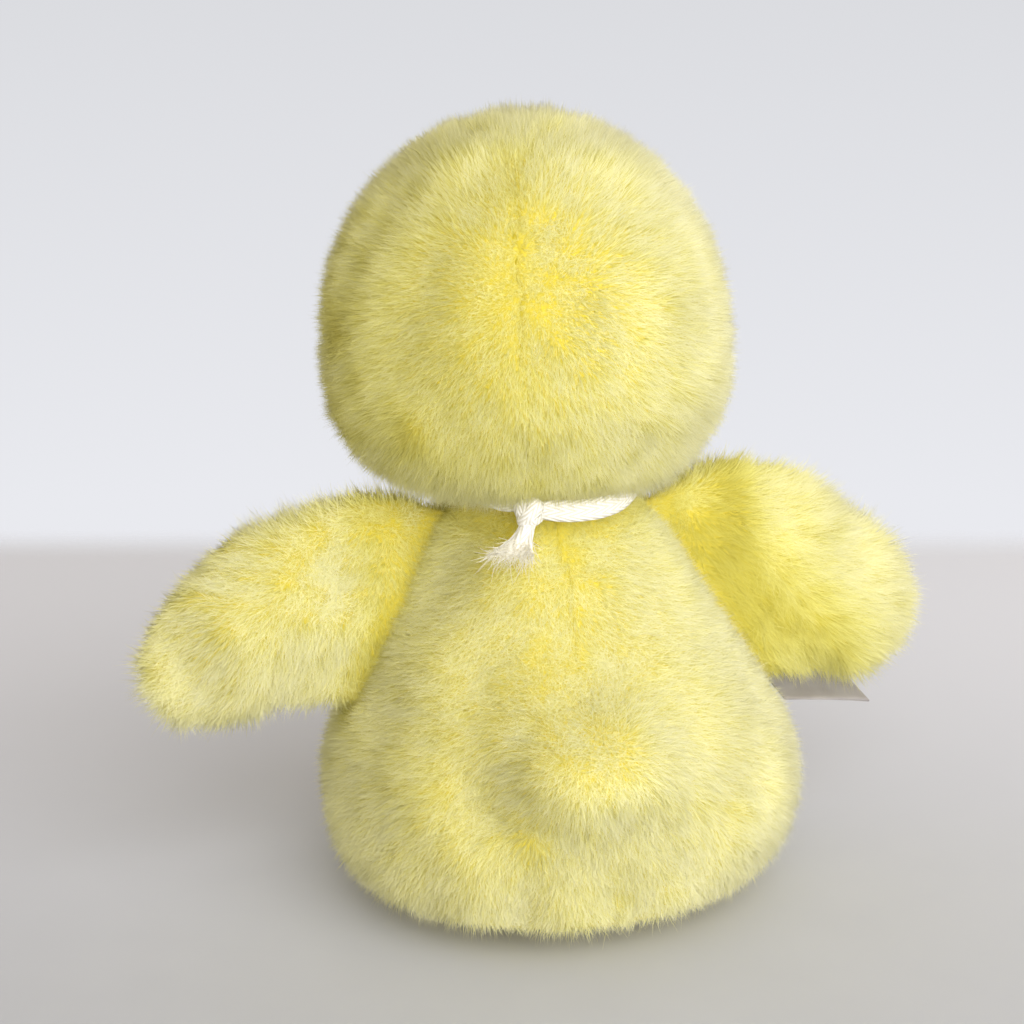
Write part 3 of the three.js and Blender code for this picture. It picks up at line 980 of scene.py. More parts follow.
class Workshop:
    """The materials that the pieces are dressed in."""

    def __init__(self) -> None:
        """Makes the materials."""
        self.pile = PileFinish().material()
        self.fuzz = PileFinish("felt_fuzz", srgb(205, 104, 22), srgb(232, 136, 40), srgb(246, 164, 66),
                               srgb(238, 146, 48), srgb(250, 178, 84)).material()
        self.backing = BackingFinish().material()
        self.fibre = FibreFinish().material()
        self.felt = FeltFinish().material()
        self.eye = EyeFinish().material()
        self.washer = WasherFinish().material()
        self.twill = TwillFinish().material()
        self.thread = ThreadFinish().material()
        self.satin = SatinFinish().material()

    def seat(self, piece: bpy.types.Object, body: str, material: bpy.types.Material, slot: str,
             *nodes: str) -> bpy.types.Object:
        """Dresses a piece and sets it on its body.

        Args:
            piece: The piece.
            body: The body that it moves with.
            material: Its finish.
            slot: The record's name for that finish; not used.
            nodes: The CAD nodes that it stands for.

        Returns:
            The piece.
        """
        piece.data.materials.clear()
        piece.data.materials.append(material)
        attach(piece, body)
        if nodes:
            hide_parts(*nodes)
        log.info("%s: %d faces on %s", piece.name, len(piece.data.polygons), body)
        return piece


@dataclass
class StuffedForm:
    """A sewn and stuffed form: cloth panels with pile, over a filling.

    Attributes:
        body: The body that it moves with.
        stuffings: The fillings' nodes.
        panels: The cloth panels' nodes.
        shape: The nodes whose outline the cloth takes.
        grow: How far the cloth lies outside that outline.
        voxel: The cloth's mesh size before it is inflated.
        swell: The most that the filling pushes the cloth out.
        fill: How tight the filling is, from 0 to 1; not used.
        pile: How the pile grows.
        thin: Panels whose pile is thinner, and by how much.
        dents: Points, in millimetres, where the pile parts all round.
        creases: Lines, in millimetres, along which it parts to both sides.
        pressure: How hard the filling presses the cloth out.
        stiffness: How much the cloth holds against that.
        frames: How long it is pressed.
        slack: How far the filling keeps inside the cloth.
        wall: The cloth's thickness.
    """

    body: str
    stuffings: tuple[str, ...]
    panels: tuple[str, ...]
    shape: tuple[str, ...]
    grow: float = 1.2 * MM
    voxel: float = 4.0 * MM
    swell: float = 1.2 * MM
    fill: float = 0.7
    pile: Pile = field(default_factory=Pile)
    thin: dict[str, float] = field(default_factory=dict)
    dents: tuple[Point, ...] = ()
    creases: tuple[Line, ...] = ()
    pressure: float = 60.0
    stiffness: float = 4.0
    frames: int = 20
    slack: float = 1.8 * MM
    wall: float = 0.7 * MM

    def comb(self, points: np.ndarray) -> np.ndarray:
        """The way the pile is brushed at points: straight down unless a form says otherwise."""
        return np.tile([0.0, 0.0, -1.0], (len(points), 1))

    def trim(self, roots: np.ndarray, normals: np.ndarray) -> np.ndarray:
        """The share of its length each fibre keeps: all of it unless a form says otherwise."""
        return np.ones(len(roots))

    def seams(self, points: np.ndarray) -> tuple[np.ndarray, np.ndarray, np.ndarray]:
        """Looks up the panels round points of the cloth.

        Args:
            points: The points.

        Returns:
            The nearest panel's number, the distance from the next one, and the direction away from that.
        """
        trees = [node_tree(panel) for panel in self.panels]
        found = [[tree.find_nearest(Vector(point)) for point in points] for tree in trees]
        gaps = np.array([[hit[3] for hit in hits] for hits in found])
        order = np.argsort(gaps, axis=0)
        places = np.array([[tuple(hit[0]) for hit in hits] for hits in found])
        every = np.arange(len(points))
        following = order[1]
        return order[0], gaps[following, every], unit(points - places[following, every])

    def tint(self, roots: np.ndarray) -> np.ndarray:
        """How much paler the pile is: even all over unless a form says otherwise."""
        return np.zeros(len(roots))

    def lay(self, points: np.ndarray, normals: np.ndarray) -> np.ndarray:
        """Where points of the outline lie on the cloth."""
        return points + normals * self.grow

    def eased(self, made: bpy.types.Object) -> bpy.types.Object:
        """Smooths the outline where a form needs it."""
        return made

    def inflated(self) -> bpy.types.Object:
        """Makes the cloth and blows it up between its seams.

        Returns:
            One closed cloth surface.
        """
        made = self.eased(remeshed(self.shape, f"{self.body}_cloth", self.voxel))
        points, normals = (array_of(made.data, "vertices", each, 3) for each in ("co", "normal"))
        made.data.vertices.foreach_set("co", self.lay(points, normals).astype(np.float32).ravel())
        made.data.update()
        self.blow_up(made)
        smooth = made.modifiers.new("smooth", "SUBSURF")
        smooth.levels = smooth.render_levels = 1
        return settled(made)

    def blow_up(self, made: bpy.types.Object) -> None:
        """Lets the filling press the cloth outwards while its seams hold, and caps how far it moves.

        Args:
            made: The object.
        """
        start = array_of(made.data, "vertices", "co", 3)
        gaps = self.seams(start)[1]
        held = made.vertex_groups.new(name="seams")
        for index, gap in enumerate(gaps):
            held.add([index], float(np.clip(1.4 - gap / (4 * MM), 0, 1)), "REPLACE")
        cloth = made.modifiers.new("cloth", "CLOTH")
        cloth.settings.vertex_group_mass = "seams"
        cloth.settings.use_pressure = True
        cloth.settings.uniform_pressure_force = self.pressure
        cloth.settings.tension_stiffness = cloth.settings.compression_stiffness = self.stiffness
        cloth.settings.effector_weights.gravity = 0.0
        for number in range(1, self.frames + 1):
            bpy.context.scene.frame_set(number)
        settled(made)
        bpy.context.scene.frame_set(1)
        moved = array_of(made.data, "vertices", "co", 3) - start
        far = np.linalg.norm(moved, axis=1, keepdims=True)
        moved *= np.minimum(1.0, self.swell / np.maximum(far, 1e-9))
        made.data.vertices.foreach_set("co", (start + moved).astype(np.float32).ravel())
        made.vertex_groups.clear()

    def skin(self, cloth: bpy.types.Object) -> Skin:
        """Reads the cloth into arrays and tells its panels apart.

        Args:
            cloth: The blown-up cloth.

        Returns:
            The skin.
        """
        mesh = cloth.data
        mesh.calc_loop_triangles()
        points = array_of(mesh, "vertices", "co", 3)
        triangles = array_of(mesh, "loop_triangles", "vertices", 3, np.int32)
        owner, gaps, away = self.seams(points)
        for line in self.creases:
            aside = aside_of(line, points)
            far = np.linalg.norm(aside, axis=1)
            away = np.where((far < gaps)[:, None], unit(aside), away)
            gaps = np.minimum(far, gaps)
        votes = np.sort(owner[triangles], axis=1)
        return Skin(points, array_of(mesh, "vertices", "normal", 3), triangles, votes[:, 1], gaps, away)

    def brushed(self, points: np.ndarray) -> np.ndarray:
        """The way the pile is brushed, and away from the dents.

        Args:
            points: The points.

        Returns:
            One way for each point; a longer one leans more.
        """
        way = self.comb(points)
        for dent in self.dents:
            from_dent = points - np.array(dent) * MM
            far = np.linalg.norm(from_dent, axis=1, keepdims=True) / (9 * MM)
            way = way + unit(from_dent) * 2.2 * np.exp(-(far**2))
        return way

    def cut(self, roots: np.ndarray, normals: np.ndarray) -> np.ndarray:
        """The share of its length each fibre keeps, less in the dents.

        Args:
            roots: The fibres' roots.
            normals: The outward direction at each.

        Returns:
            One share for each root; 0 takes the fibre out.
        """
        keep = self.trim(roots, normals)
        for dent in self.dents:
            far = np.linalg.norm(roots - np.array(dent) * MM, axis=1) / (5 * MM)
            keep = keep * (1 - 0.35 * np.exp(-(far**2)))
        return keep

    def build(self, shop: Workshop) -> None:
        """Makes the filling, the panels and their pile.

        Args:
            shop: The materials.
        """
        cloth = self.inflated()
        for stuffing in self.stuffings:
            self.fill_up(stuffing, cloth, shop)
        self.sew(cloth, shop)
        self.grow_pile(self.skin(cloth), shop)
        bpy.data.objects.remove(cloth)

    def fill_up(self, stuffing: str, cloth: bpy.types.Object, shop: Workshop) -> None:
        """Makes a filling, a lumpy form that the cloth holds in.

        Args:
            stuffing: The filling's node.
            cloth: The blown-up cloth.
            shop: The materials.
        """
        outside = BVHTree.FromPolygons([tuple(v.co) for v in cloth.data.vertices],
                                       [tuple(face.vertices) for face in cloth.data.polygons])
        made = remeshed((stuffing,), f"{stuffing}_fibre", self.voxel)
        bm = bmesh.new()
        bm.from_mesh(made.data)
        bm.normal_update()
        lumps = ripples(np.array([vert.co for vert in bm.verts]), 14 * MM, 11)[0]
        for vert, lump in zip(bm.verts, lumps):
            vert.co -= vert.normal * (1.2 + 0.5 * float(np.clip(lump, -1, 1))) * MM
            place, normal, _, far = outside.find_nearest(vert.co)
            if far < self.slack or (vert.co - place).dot(normal) > 0:
                vert.co = place - normal * self.slack
        bm.to_mesh(made.data)
        bm.free()
        shop.seat(made, self.body, shop.fibre, "fibre_stuffing", stuffing)

    def sew(self, cloth: bpy.types.Object, shop: Workshop) -> None:
        """Cuts the cloth into its panels.

        Args:
            cloth: The blown-up cloth.
            shop: The materials.
        """
        owner = self.seams(array_of(cloth.data, "vertices", "co", 3))[0]
        for number, panel in enumerate(self.panels):
            bm = bmesh.new()
            bm.from_mesh(cloth.data)
            bm.verts.ensure_lookup_table()
            others = [face for face in bm.faces
                      if sorted(owner[vert.index] for vert in face.verts)[len(face.verts) // 2] != number]
            bmesh.ops.delete(bm, geom=others, context="FACES")
            piece = from_bmesh(f"{panel}_backing", bm)
            wall = piece.modifiers.new("wall", "SOLIDIFY")
            wall.thickness = self.wall
            wall.offset = -1.0
            shop.seat(piece, self.body, shop.backing, "yellow_plush", panel)

    def grow_pile(self, skin: Skin, shop: Workshop) -> None:
        """Grows each panel's pile.

        Args:
            skin: The cloth, as arrays.
            shop: The materials.
        """
        groom = Groom(self.brushed, self.cut, self.tint)
        for number, panel in enumerate(self.panels):
            faces = np.flatnonzero(skin.panel == number)
            growth = replace(self.pile, per_mm2=self.pile.per_mm2 * self.thin.get(panel, 1.0))
            for pile in growth.grow(f"{panel}_pile", skin, faces, groom, 100 + number):
                pile.visible_shadow = False
                shop.seat(pile, self.body, shop.pile, "yellow_plush")


@dataclass
class Torso(StuffedForm):
    """The pear-shaped body: base, belly and two back panels, and the tail pocket on the back.

    Attributes:
        neck_top: The height above which no pile grows.
        tail_middle: The middle of the tail.
        tail_reach: How far round it the outline is softened.
        tail_rounds: How many times it is softened.
        sag: How far the filling pushes the body out low down.
        slouch: How much farther it does so on the left.
    """

    body: str = "torso"
    stuffings: tuple[str, ...] = ("body_stuffing", "tail_stuffing")
    panels: tuple[str, ...] = ("base_panel", "belly_panel", "back_panel_left", "back_panel_right", "tail_cover")
    shape: tuple[str, ...] = ("body_stuffing", "tail_stuffing")
    voxel: float = 3.5 * MM
    thin: dict[str, float] = field(default_factory=lambda: {"base_panel": 0.15, "belly_panel": 0.8})
    dents: tuple[Point, ...] = ((20.2, 48.8, 31.4),)
    creases: tuple[Line, ...] = (
        ((21.6, 34.7, 61.4), (25.1, 41.0, 49.8)), ((25.1, 41.0, 49.8), (26.2, 44.6, 39.3)),
        ((10.6, 60.0, 45.4), (-1.6, 60.0, 45.0)), ((-1.6, 60.0, 45.0), (-26.4, 42.8, 33.0)))
    neck_top: float = 97.5 * MM
    tail_middle: Point = (4.0 * MM, 60.0 * MM, 52.0 * MM)
    tail_reach: float = 44.0 * MM
    tail_rounds: int = 64
    grow: float = 1.7 * MM
    sag: float = 1.6 * MM
    slouch: float = 5.6 * MM
    pile: Pile = field(default_factory=lambda: Pile(lean=32.0, stray=0.8))

    def seams(self, points: np.ndarray) -> tuple[np.ndarray, np.ndarray, np.ndarray]:
        """Looks up the panels, and plays down the seam round the tail, which the pile hides.

        Args:
            points: The points.

        Returns:
            The nearest panel's number, the distance from the next one, and the direction away from that.
        """
        owner, gaps, away = super().seams(points)
        tail = distance_to(node_tree("tail_cover"), points)
        return owner, np.where(tail < 4 * MM, gaps + 3.5 * MM, gaps), away

    def eased(self, made: bpy.types.Object) -> bpy.types.Object:
        """Lets the tail run softly into the back.

        Args:
            made: The object.

        Returns:
            The same object.
        """
        bm = bmesh.new()
        bm.from_mesh(made.data)
        tail = Vector(self.tail_middle)
        round_tail = [vert for vert in bm.verts if (vert.co - tail).length < self.tail_reach]
        soften(bm, round_tail, self.tail_rounds)
        bm.to_mesh(made.data)
        bm.free()
        return made

    def lay(self, points: np.ndarray, normals: np.ndarray) -> np.ndarray:
        """Lets the filling sag, so that the body is wider low down, most of all on its left.

        Args:
            points: The points.
            normals: The outward direction at each.

        Returns:
            Where they lie on the cloth.
        """
        low, foot = (np.clip((top - points[:, 2:]) / reach, 0, 1)
                     for top, reach in ((75 * MM, 25 * MM), (36 * MM, 24 * MM)))
        out = unit(points * [1.0, 1.0, 0.0])
        left = np.clip(out @ [0.9, 0.44, 0.0], 0, 1)[:, None]
        return super().lay(points, normals) + out * low * self.sag + out * foot * left**2 * self.slouch

    def comb(self, points: np.ndarray) -> np.ndarray:
        """Down and a little outwards from the body's axis, and round the tail's sides.

        Args:
            points: The points.

        Returns:
            One way for each point; a longer one leans more.
        """
        down = unit(unit(points * [1.0, 1.0, 0.0]) * 0.25 + [0.0, 0.0, -1.0])
        from_tail = points - np.array(self.tail_middle)
        far = np.linalg.norm(from_tail, axis=1, keepdims=True) / (20 * MM)
        low = 0.8 * np.clip(1 - points[:, 2:] / (30 * MM), 0, 1)
        return down * (1 + 0.3 * np.exp(-(far**2)) + low) + unit(from_tail) * 0.3 * far**2 * np.exp(1 - far**2)

    def wing_gap(self, points: np.ndarray) -> np.ndarray:
        """How far points are from the wings, or a whole metre low down.

        Args:
            points: The points.

        Returns:
            One distance for each point.
        """
        gap, high = np.ones(len(points)), points[:, 2] > 40 * MM
        wings = node_tree(*(f"wing_{side.word}_{face}_panel" for side in Side for face in ("back", "front")))
        gap[high] = distance_to(wings, points[high])
        return gap

    def tint(self, roots: np.ndarray) -> np.ndarray:
        """Paler along the floor and on the tail, with painted light on the right and painted shade on the left, at
        the neck and by the wings.

        Args:
            roots: The fibres' roots.

        Returns:
            One number for each root, above 0 where it is paler.
        """
        from_tail = np.linalg.norm(roots - np.array(self.tail_middle), axis=1) / (30 * MM)
        floor, neck = np.clip(1 - roots[:, 2] / (32 * MM), 0, 1), np.clip(roots[:, 2] / (14 * MM) - 5.5, 0, 1)
        left, right = (np.clip(way * roots[:, 0] / (40 * MM), 0, 1) for way in (1, -1))
        groove = np.exp(-((self.wing_gap(roots) / (8 * MM)) ** 2))
        # Painted light on the right side; painted shade on the left side, under the head at the neck and in the
        # grooves by the wings.
        paler = 0.3 * floor + 0.32 * np.exp(-(from_tail**2)) + 0.26 * right
        return paler - 0.16 * left - 0.2 * neck - 0.55 * groove

    def trim(self, roots: np.ndarray, normals: np.ndarray) -> np.ndarray:
        """Leaves out what the neck covers, and shortens the pile under the base.

        Args:
            roots: The fibres' roots.
            normals: The outward direction at each.

        Returns:
            One share for each root; 0 takes the fibre out.
        """
        keep = np.where(normals[:, 2] < -0.7, 0.55, 1 + 0.2 * np.clip(1 - roots[:, 2] / (20 * MM), 0, 1))
        # Shorter fibres end lower on their colours: painted shade under the head, by the tape's end and by the
        # wings.
        keep *= np.clip((self.neck_top - roots[:, 2]) / (7 * MM), 0.5, 1.0)
        back = (roots[:, 1] > 0) & (roots[:, 2] > 70 * MM)
        near = distance_to(node_tree("tape_end"), roots[back])
        keep[back] *= np.clip(near / (8 * MM), 0.4, 1.0)
        keep *= np.clip(self.wing_gap(roots) / (8 * MM), 0.5, 1.0)
        keep[roots[:, 2] > self.neck_top] = 0.0
        return keep


@dataclass
class Head(StuffedForm):
    """The round head: two sides and a crown gusset.

    Attributes:
        neck_foot: The height below which no pile grows underneath.
        face_gap: How far the pile's roots keep from the eyes and the beak.
        face: The nodes of the eyes and the beak.
        eye_bulge: How far the eyes' washers push the cloth out.
        slump: How far the whole head is shifted.
        swells: Ways in which it is fuller, or flatter below 0: the way, how far and how sharply.
        nape: The height below which the pile is longer at the sides.
    """

    body: str = "head"
    stuffings: tuple[str, ...] = ("head_stuffing",)
    panels: tuple[str, ...] = ("head_panel_left", "head_panel_right", "head_gusset")
    shape: tuple[str, ...] = ("head_stuffing", "eye_washer_left", "eye_washer_right")
    grow: float = 0.3 * MM
    neck_foot: float = 103.5 * MM
    face_gap: float = 2.2 * MM
    face: tuple[str, ...] = ("eye_left", "eye_right", "beak_upper", "beak_lower")
    eye_bulge: float = 1.6 * MM
    slump: Point = (-0.3 * MM, 0.0, 1.9 * MM)
    swells: tuple[tuple[Point, float, int], ...] = (
        ((0.62, 0.1, -0.78), 3.4 * MM, 3), ((-0.88, 0.0, 0.47), -3.6 * MM, 2),
        ((-0.5, 0.1, -0.86), 3.0 * MM, 6), ((0.6, 0.0, 0.8), -1.4 * MM, 3))
    pile: Pile = field(default_factory=lambda: Pile(lean=12.0, stray=0.9))
    dents: tuple[Point, ...] = ((53.1, 8.0, 139.3), (41.4, 25.7, 121.7))
    nape: float = 114.0 * MM

    def lay(self, points: np.ndarray, normals: np.ndarray) -> np.ndarray:
        """Lets the head slump, fuller low on its left, and the eyes' washers push the cloth out.

        Args:
            points: The points.
            normals: The outward direction at each.

        Returns:
            Where they lie on the cloth.
        """
        washers = distance_to(node_tree("eye_washer_left", "eye_washer_right"), points)[:, None]
        grown = self.eye_bulge * np.exp(-((washers / (6 * MM)) ** 2))
        for way, swell, sharp in self.swells:
            grown += swell * np.clip(normals @ np.array(way), 0, 1)[:, None] ** sharp
        return super().lay(points, normals) + normals * grown + self.slump

    def middle(self) -> np.ndarray:
        """The middle of the head's filling."""
        return np.array(sum(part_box(self.stuffings[0]), Vector())) / 2

    def comb(self, points: np.ndarray) -> np.ndarray:
        """Down from the crown, all round, and away from the eyes and the beak.

        Args:
            points: The points.

        Returns:
            One way for each point; a longer one leans more.
        """
        way = unit(unit((points - self.middle()) * [1.0, 1.0, 0.0]) * 0.5 + [0.0, 0.0, -1.0])
        way *= np.clip((points[:, 2:] - 95 * MM) / (45 * MM), 0.2, 1.0)
        tree = node_tree(*self.face)
        front = points[:, 1] < 0
        nearest = [tuple(tree.find_nearest(Vector(each))[0]) for each in points[front]]
        from_face = points[front] - np.array(nearest)
        far = np.linalg.norm(from_face, axis=1, keepdims=True) / (7 * MM)
        way[front] += unit(from_face) * 1.6 * np.exp(-(far**2))
        return way

    def tint(self, roots: np.ndarray) -> np.ndarray:
        """Paler on top, with painted light on the right side and painted shade on the left side, low on the back
        and underneath.

        Args:
            roots: The fibres' roots.

        Returns:
            One number for each root, above 0 where it is paler.
        """
        out = unit(roots - self.middle())
        back = np.clip(out[:, 1] - 0.35, 0, 1) * np.clip(0.75 - out[:, 2], 0, 1)
        # Painted light on the right side and painted shade on the left side, low on the back and underneath.
        sides = np.where(out[:, 0] < 0, -0.2, -0.8) * out[:, 0]
        high, low = np.clip(out[:, 2], 0, 1), np.clip(-0.4 - out[:, 2], 0, 1)
        return sides + 0.14 * high - 0.24 * back - 0.8 * low

    def trim(self, roots: np.ndarray, normals: np.ndarray) -> np.ndarray:
        """Leaves the eyes, the beak and the neck clear.

        Args:
            roots: The fibres' roots.
            normals: The outward direction at each.

        Returns:
            One share for each root; 0 takes the fibre out.
        """
        low = np.clip((self.nape - roots[:, 2]) / (10 * MM), 0, 1)
        left, right = (np.clip(way * (roots[:, 0] - edge * MM) / (10 * MM), 0, 1)
                       for way, edge in ((1, 14), (-1, -5)))
        keep = 1 + 0.3 * low * left + 0.4 * low * right
        keep[(normals[:, 2] < -0.85) & (roots[:, 2] < self.neck_foot)] = 0.0
        front = roots[:, 1] < 0
        gap = distance_to(node_tree(*self.face), roots[front])
        clear = np.clip((gap - 1.2 * MM) / (4 * MM), 0.35, 1.0)
        keep[front] = np.minimum(keep[front], np.where(gap < self.face_gap, 0.0, clear))
        return keep


@dataclass
class Wing(StuffedForm):
    """A paddle wing: a back and a front panel, sewn round the edge.

    Attributes:
        side: Which wing it is.
        tuck: How far its root goes into the body.
        shoulder: How far its upper edge is raised by the body.
        falls: How far an edge drops, where that starts, how far it takes, and 1 for the upper edge or -1.
        under: How far the lower edge is raised, where, and how widely.
        deep: How much deeper its colour is by the body, painted shade where the wing meets it.
    """

    side: Side = Side.LEFT
    voxel: float = 2.5 * MM
    grow: float = -2.0 * MM
    swell: float = 1.0 * MM
    fill: float = 0.5
    tuck: float = 7.0 * MM
    shoulder: float = 3.0 * MM
    falls: tuple[tuple[float, float, float, int], ...] = ((-4.4 * MM, 24.0 * MM, 22.0 * MM, 1),)
    under: tuple[tuple[float, float, float], ...] = (
        (5.0 * MM, 9.0 * MM, 9.0 * MM), (-2.4 * MM, 36.0 * MM, 8.0 * MM))
    deep: float = -0.08
    pile: Pile = field(default_factory=lambda: Pile(6.2 * MM, lean=30.0, tuft=0.38, stray=0.6))

    @classmethod
    def on(cls, side: Side) -> "Wing":
        """The wing of one side.

        Args:
            side: The side.

        Returns:
            The wing.
        """
        body = f"wing_{side.word}"
        panels = (f"{body}_back_panel", f"{body}_front_panel")
        made = cls(body, (f"{body}_stuffing",), panels, (*panels, f"{body}_stuffing"), side=side)
        if side is Side.RIGHT:
            made.creases = (
                ((-28.3, 1.0, 77.5), (-45.8, 1.7, 67.6)), ((-45.8, 1.7, 67.6), (-66.0, -5.0, 53.0)))
            made.tuck, made.shoulder, made.under = 10.0 * MM, 4.6 * MM, ()
            made.falls = ((6.0 * MM, 27.0 * MM, 14.0 * MM, 1), (6.0 * MM, 11.0 * MM, 10.0 * MM, -1))
            made.deep = 0.26
            made.pile = replace(made.pile, length=7.0 * MM, lean=24.0, tuft=0.45)
        return made

    def lay(self, points: np.ndarray, normals: np.ndarray) -> np.ndarray:
        """Thins the outline, tucks the root into the body and raises the shoulder.

        Args:
            points: The points.
            normals: The outward direction at each.

        Returns:
            Where they lie on the cloth.
        """
        root, hinge = (np.array(each) for each in joint_of(self.body))
        outward = np.array([float(self.side.value), 0.0, 0.0])
        outward = unit((outward - hinge * (outward @ hinge))[None, :])[0]
        far, high = ((points - root) @ way for way in (outward, hinge))
        near = np.clip(1 - far / (14 * MM), 0, None)[:, None]
        raised = self.shoulder * np.clip(1 - np.clip(far / (34 * MM), 0, 1) ** 2, 0, 1)
        raised *= np.clip(high / (22 * MM), 0, 1)
        for rise, place, spread in self.under:
            raised += rise * np.exp(-(((far - place) / spread) ** 2)) * np.clip(-high / (15 * MM), 0, 1)
        for fall, start, reach, half in self.falls:
            step = np.clip((far - start) / reach, 0, 1)
            raised -= fall * step * step * (3 - 2 * step) * np.clip(0.5 + half * high / (16 * MM), 0, 1)
        laid = points + normals * (self.grow + 3.0 * MM * np.minimum(near, 1.0)) - outward * self.tuck * near**2
        return laid + np.array(UP) * raised[:, None]

    def trim(self, roots: np.ndarray, normals: np.ndarray) -> np.ndarray:
        """Shortens the pile in the groove along the body and on the front of the rim.

        Args:
            roots: The fibres' roots.
            normals: The outward direction at each.

        Returns:
            One share for each root; 0 takes the fibre out.
        """
        torso = node_tree("belly_panel", "back_panel_left", "back_panel_right")
        # Shorter fibres also end lower on their colours: painted shade in the groove by the body.
        keep = np.clip(0.35 + distance_to(torso, roots) / (8 * MM), 0.45, 1.0)
        front = normals[:, 1] < -0.1
        keep[front] *= np.clip(0.4 + distance_to(node_tree(self.panels[0]), roots[front]) / (10 * MM), 0.4, 1.0)
        return keep

    def tint(self, roots: np.ndarray) -> np.ndarray:
        """Painted shade by the body and along its creases, and paler towards the tip.

        Args:
            roots: The fibres' roots.

        Returns:
            One number for each root, above 0 where it is paler.
        """
        far = np.abs(roots[:, 0] - joint_of(self.body)[0].x)
        # Painted shade by the body, darkest at the root, and along the creases.
        tint = np.clip(far / (45 * MM), 0, 1) * (self.deep + 0.3) - self.deep
        tint -= 0.7 * np.exp(-((far / (5 * MM)) ** 2))
        gaps = [np.linalg.norm(aside_of(line, roots), axis=1) for line in self.creases]
        return tint - 0.95 * np.exp(-((np.min(gaps, axis=0) / (13 * MM)) ** 2)) if gaps else tint

    def comb(self, points: np.ndarray) -> np.ndarray:
        """From the root to the tip, fanning out a little.

        Args:
            points: The points.

        Returns:
            One way for each point; a longer one leans more.
        """
        middle = points.mean(0)
        fan = unit((points - middle) * [1.0, 0.0, 1.0]) * 0.35
        return unit(fan + [0.95 * self.side.value, 0.0, -0.3])


# Felt, eyes, tape and label


@dataclass
class FeltPiece:
    """A piece of thick felt with soft edges and a fine fuzz.

    Attributes:
        node: The piece's node.
        body: The body that it moves with.
        voxel: Its mesh size.
        fuzz: How its fuzz grows.
    """

    node: str
    body: str
    voxel: float = 0.7 * MM
    fuzz: Pile = field(default_factory=lambda: Pile(0.9 * MM, 0.06 * MM, 45.0, 0.1, 1.5, 3.5))

    def build(self, shop: Workshop) -> None:
        """Makes the felt and its fuzz.

        Args:
            shop: The materials.
        """
        felt = remeshed((self.node,), f"{self.node}_felt", self.voxel, 2)
        skin = Skin.plain(felt.data)
        shop.seat(felt, self.body, shop.felt, "orange_felt", self.node)
        every = np.arange(len(skin.triangles))
        groom = Groom(self.comb, self.trim, self.tint)
        for fuzz in self.fuzz.grow(f"{self.node}_fuzz", skin, every, groom, 40):
            fuzz.visible_shadow = False
            shop.seat(fuzz, self.body, shop.fuzz, "orange_felt")

    def comb(self, points: np.ndarray) -> np.ndarray:
        """The way the felt is brushed: forwards and down."""
        return np.tile([0.0, -0.6, -0.8], (len(points), 1))

    def trim(self, roots: np.ndarray, normals: np.ndarray) -> np.ndarray:
        """The share of its length each fibre keeps: less underneath."""
        return np.where(normals[:, 2] < -0.7, 0.4, 1.0)

    def tint(self, roots: np.ndarray) -> np.ndarray:
        """How much paler the fuzz is: even all over."""
        return np.zeros(len(roots))


@dataclass
class Eye:
    """A domed plastic eye on a stem, held by a washer inside the head.

    Attributes:
        side: Which eye it is.
        radius: The dome's radius.
        height: The dome's height.
        stem: The stem's radius.
        rim: The radius of the rounded rim.
        sink: How far it is pressed into the pile.
    """

    side: Side
    radius: float = 4.5 * MM
    height: float = 3.6 * MM
    stem: float = 1.2 * MM
    rim: float = 0.4 * MM
    sink: float = 2.2 * MM

    def build(self, shop: Workshop) -> None:
        """Turns the dome and its stem, and moulds the washer.

        Args:
            shop: The materials.
        """
        name, washer = f"eye_{self.side.word}", f"eye_washer_{self.side.word}"
        points = array_of(frame["nodes"][name].data, "vertices", "co", 3)
        middle = Vector(points.mean(0))
        axis = (middle - Vector(array_of(frame["nodes"][washer].data, "vertices", "co", 3).mean(0))).normalized()
        reach = (points - np.array(middle)) @ np.array(axis)
        base, foot = float(reach.max()) - self.height - self.sink, float(reach.min())
        profile = [(0.0, foot), (self.stem, foot), (self.stem, base - self.rim)]
        for step in range(5):
            turn = math.radians(-90 + 22.5 * step)
            profile.append((self.radius - self.rim + self.rim * math.cos(turn), base + self.rim * math.sin(turn)))
        for step in range(1, 17):
            turn = math.radians(90 * step / 16)
            profile.append((self.radius * math.cos(turn), base + self.height * math.sin(turn)))
        eye = self.turned(f"{name}_dome", profile, middle, axis)
        shop.seat(eye, "head", shop.eye, "black_eye", name)
        bm = merged(washer)
        bmesh.ops.bevel(bm, geom=[edge for edge in bm.edges if edge.calc_face_angle(0) > 0.6], offset=0.2 * MM,
                        offset_type="OFFSET", affect="EDGES", segments=2, profile=0.5, material=-1)
        shop.seat(from_bmesh(f"{washer}_moulding", bm, False), "head", shop.washer, "white_washer", washer)

    def turned(self, name: str, profile: list[tuple[float, float]], middle: Vector,
               axis: Vector) -> bpy.types.Object:
        """Spins a profile of radius and height round an axis.

        Args:
            name: The piece's name.
            profile: The profile, from the axis out and back to it.
            middle: The point of height 0.
            axis: The axis.

        Returns:
            The turned piece.
        """
        bm = bmesh.new()
        side = axis.orthogonal().normalized()
        verts = [bm.verts.new(middle + side * radius + axis * height) for radius, height in profile]
        edges = [bm.edges.new(pair) for pair in zip(verts, verts[1:])]
        bmesh.ops.spin(bm, geom=verts + edges, cent=middle, axis=axis, angle=2 * math.pi, steps=48, use_merge=True)
        bmesh.ops.remove_doubles(bm, verts=bm.verts, dist=1e-6)
        bmesh.ops.recalc_face_normals(bm, faces=bm.faces)
        return from_bmesh(name, bm)


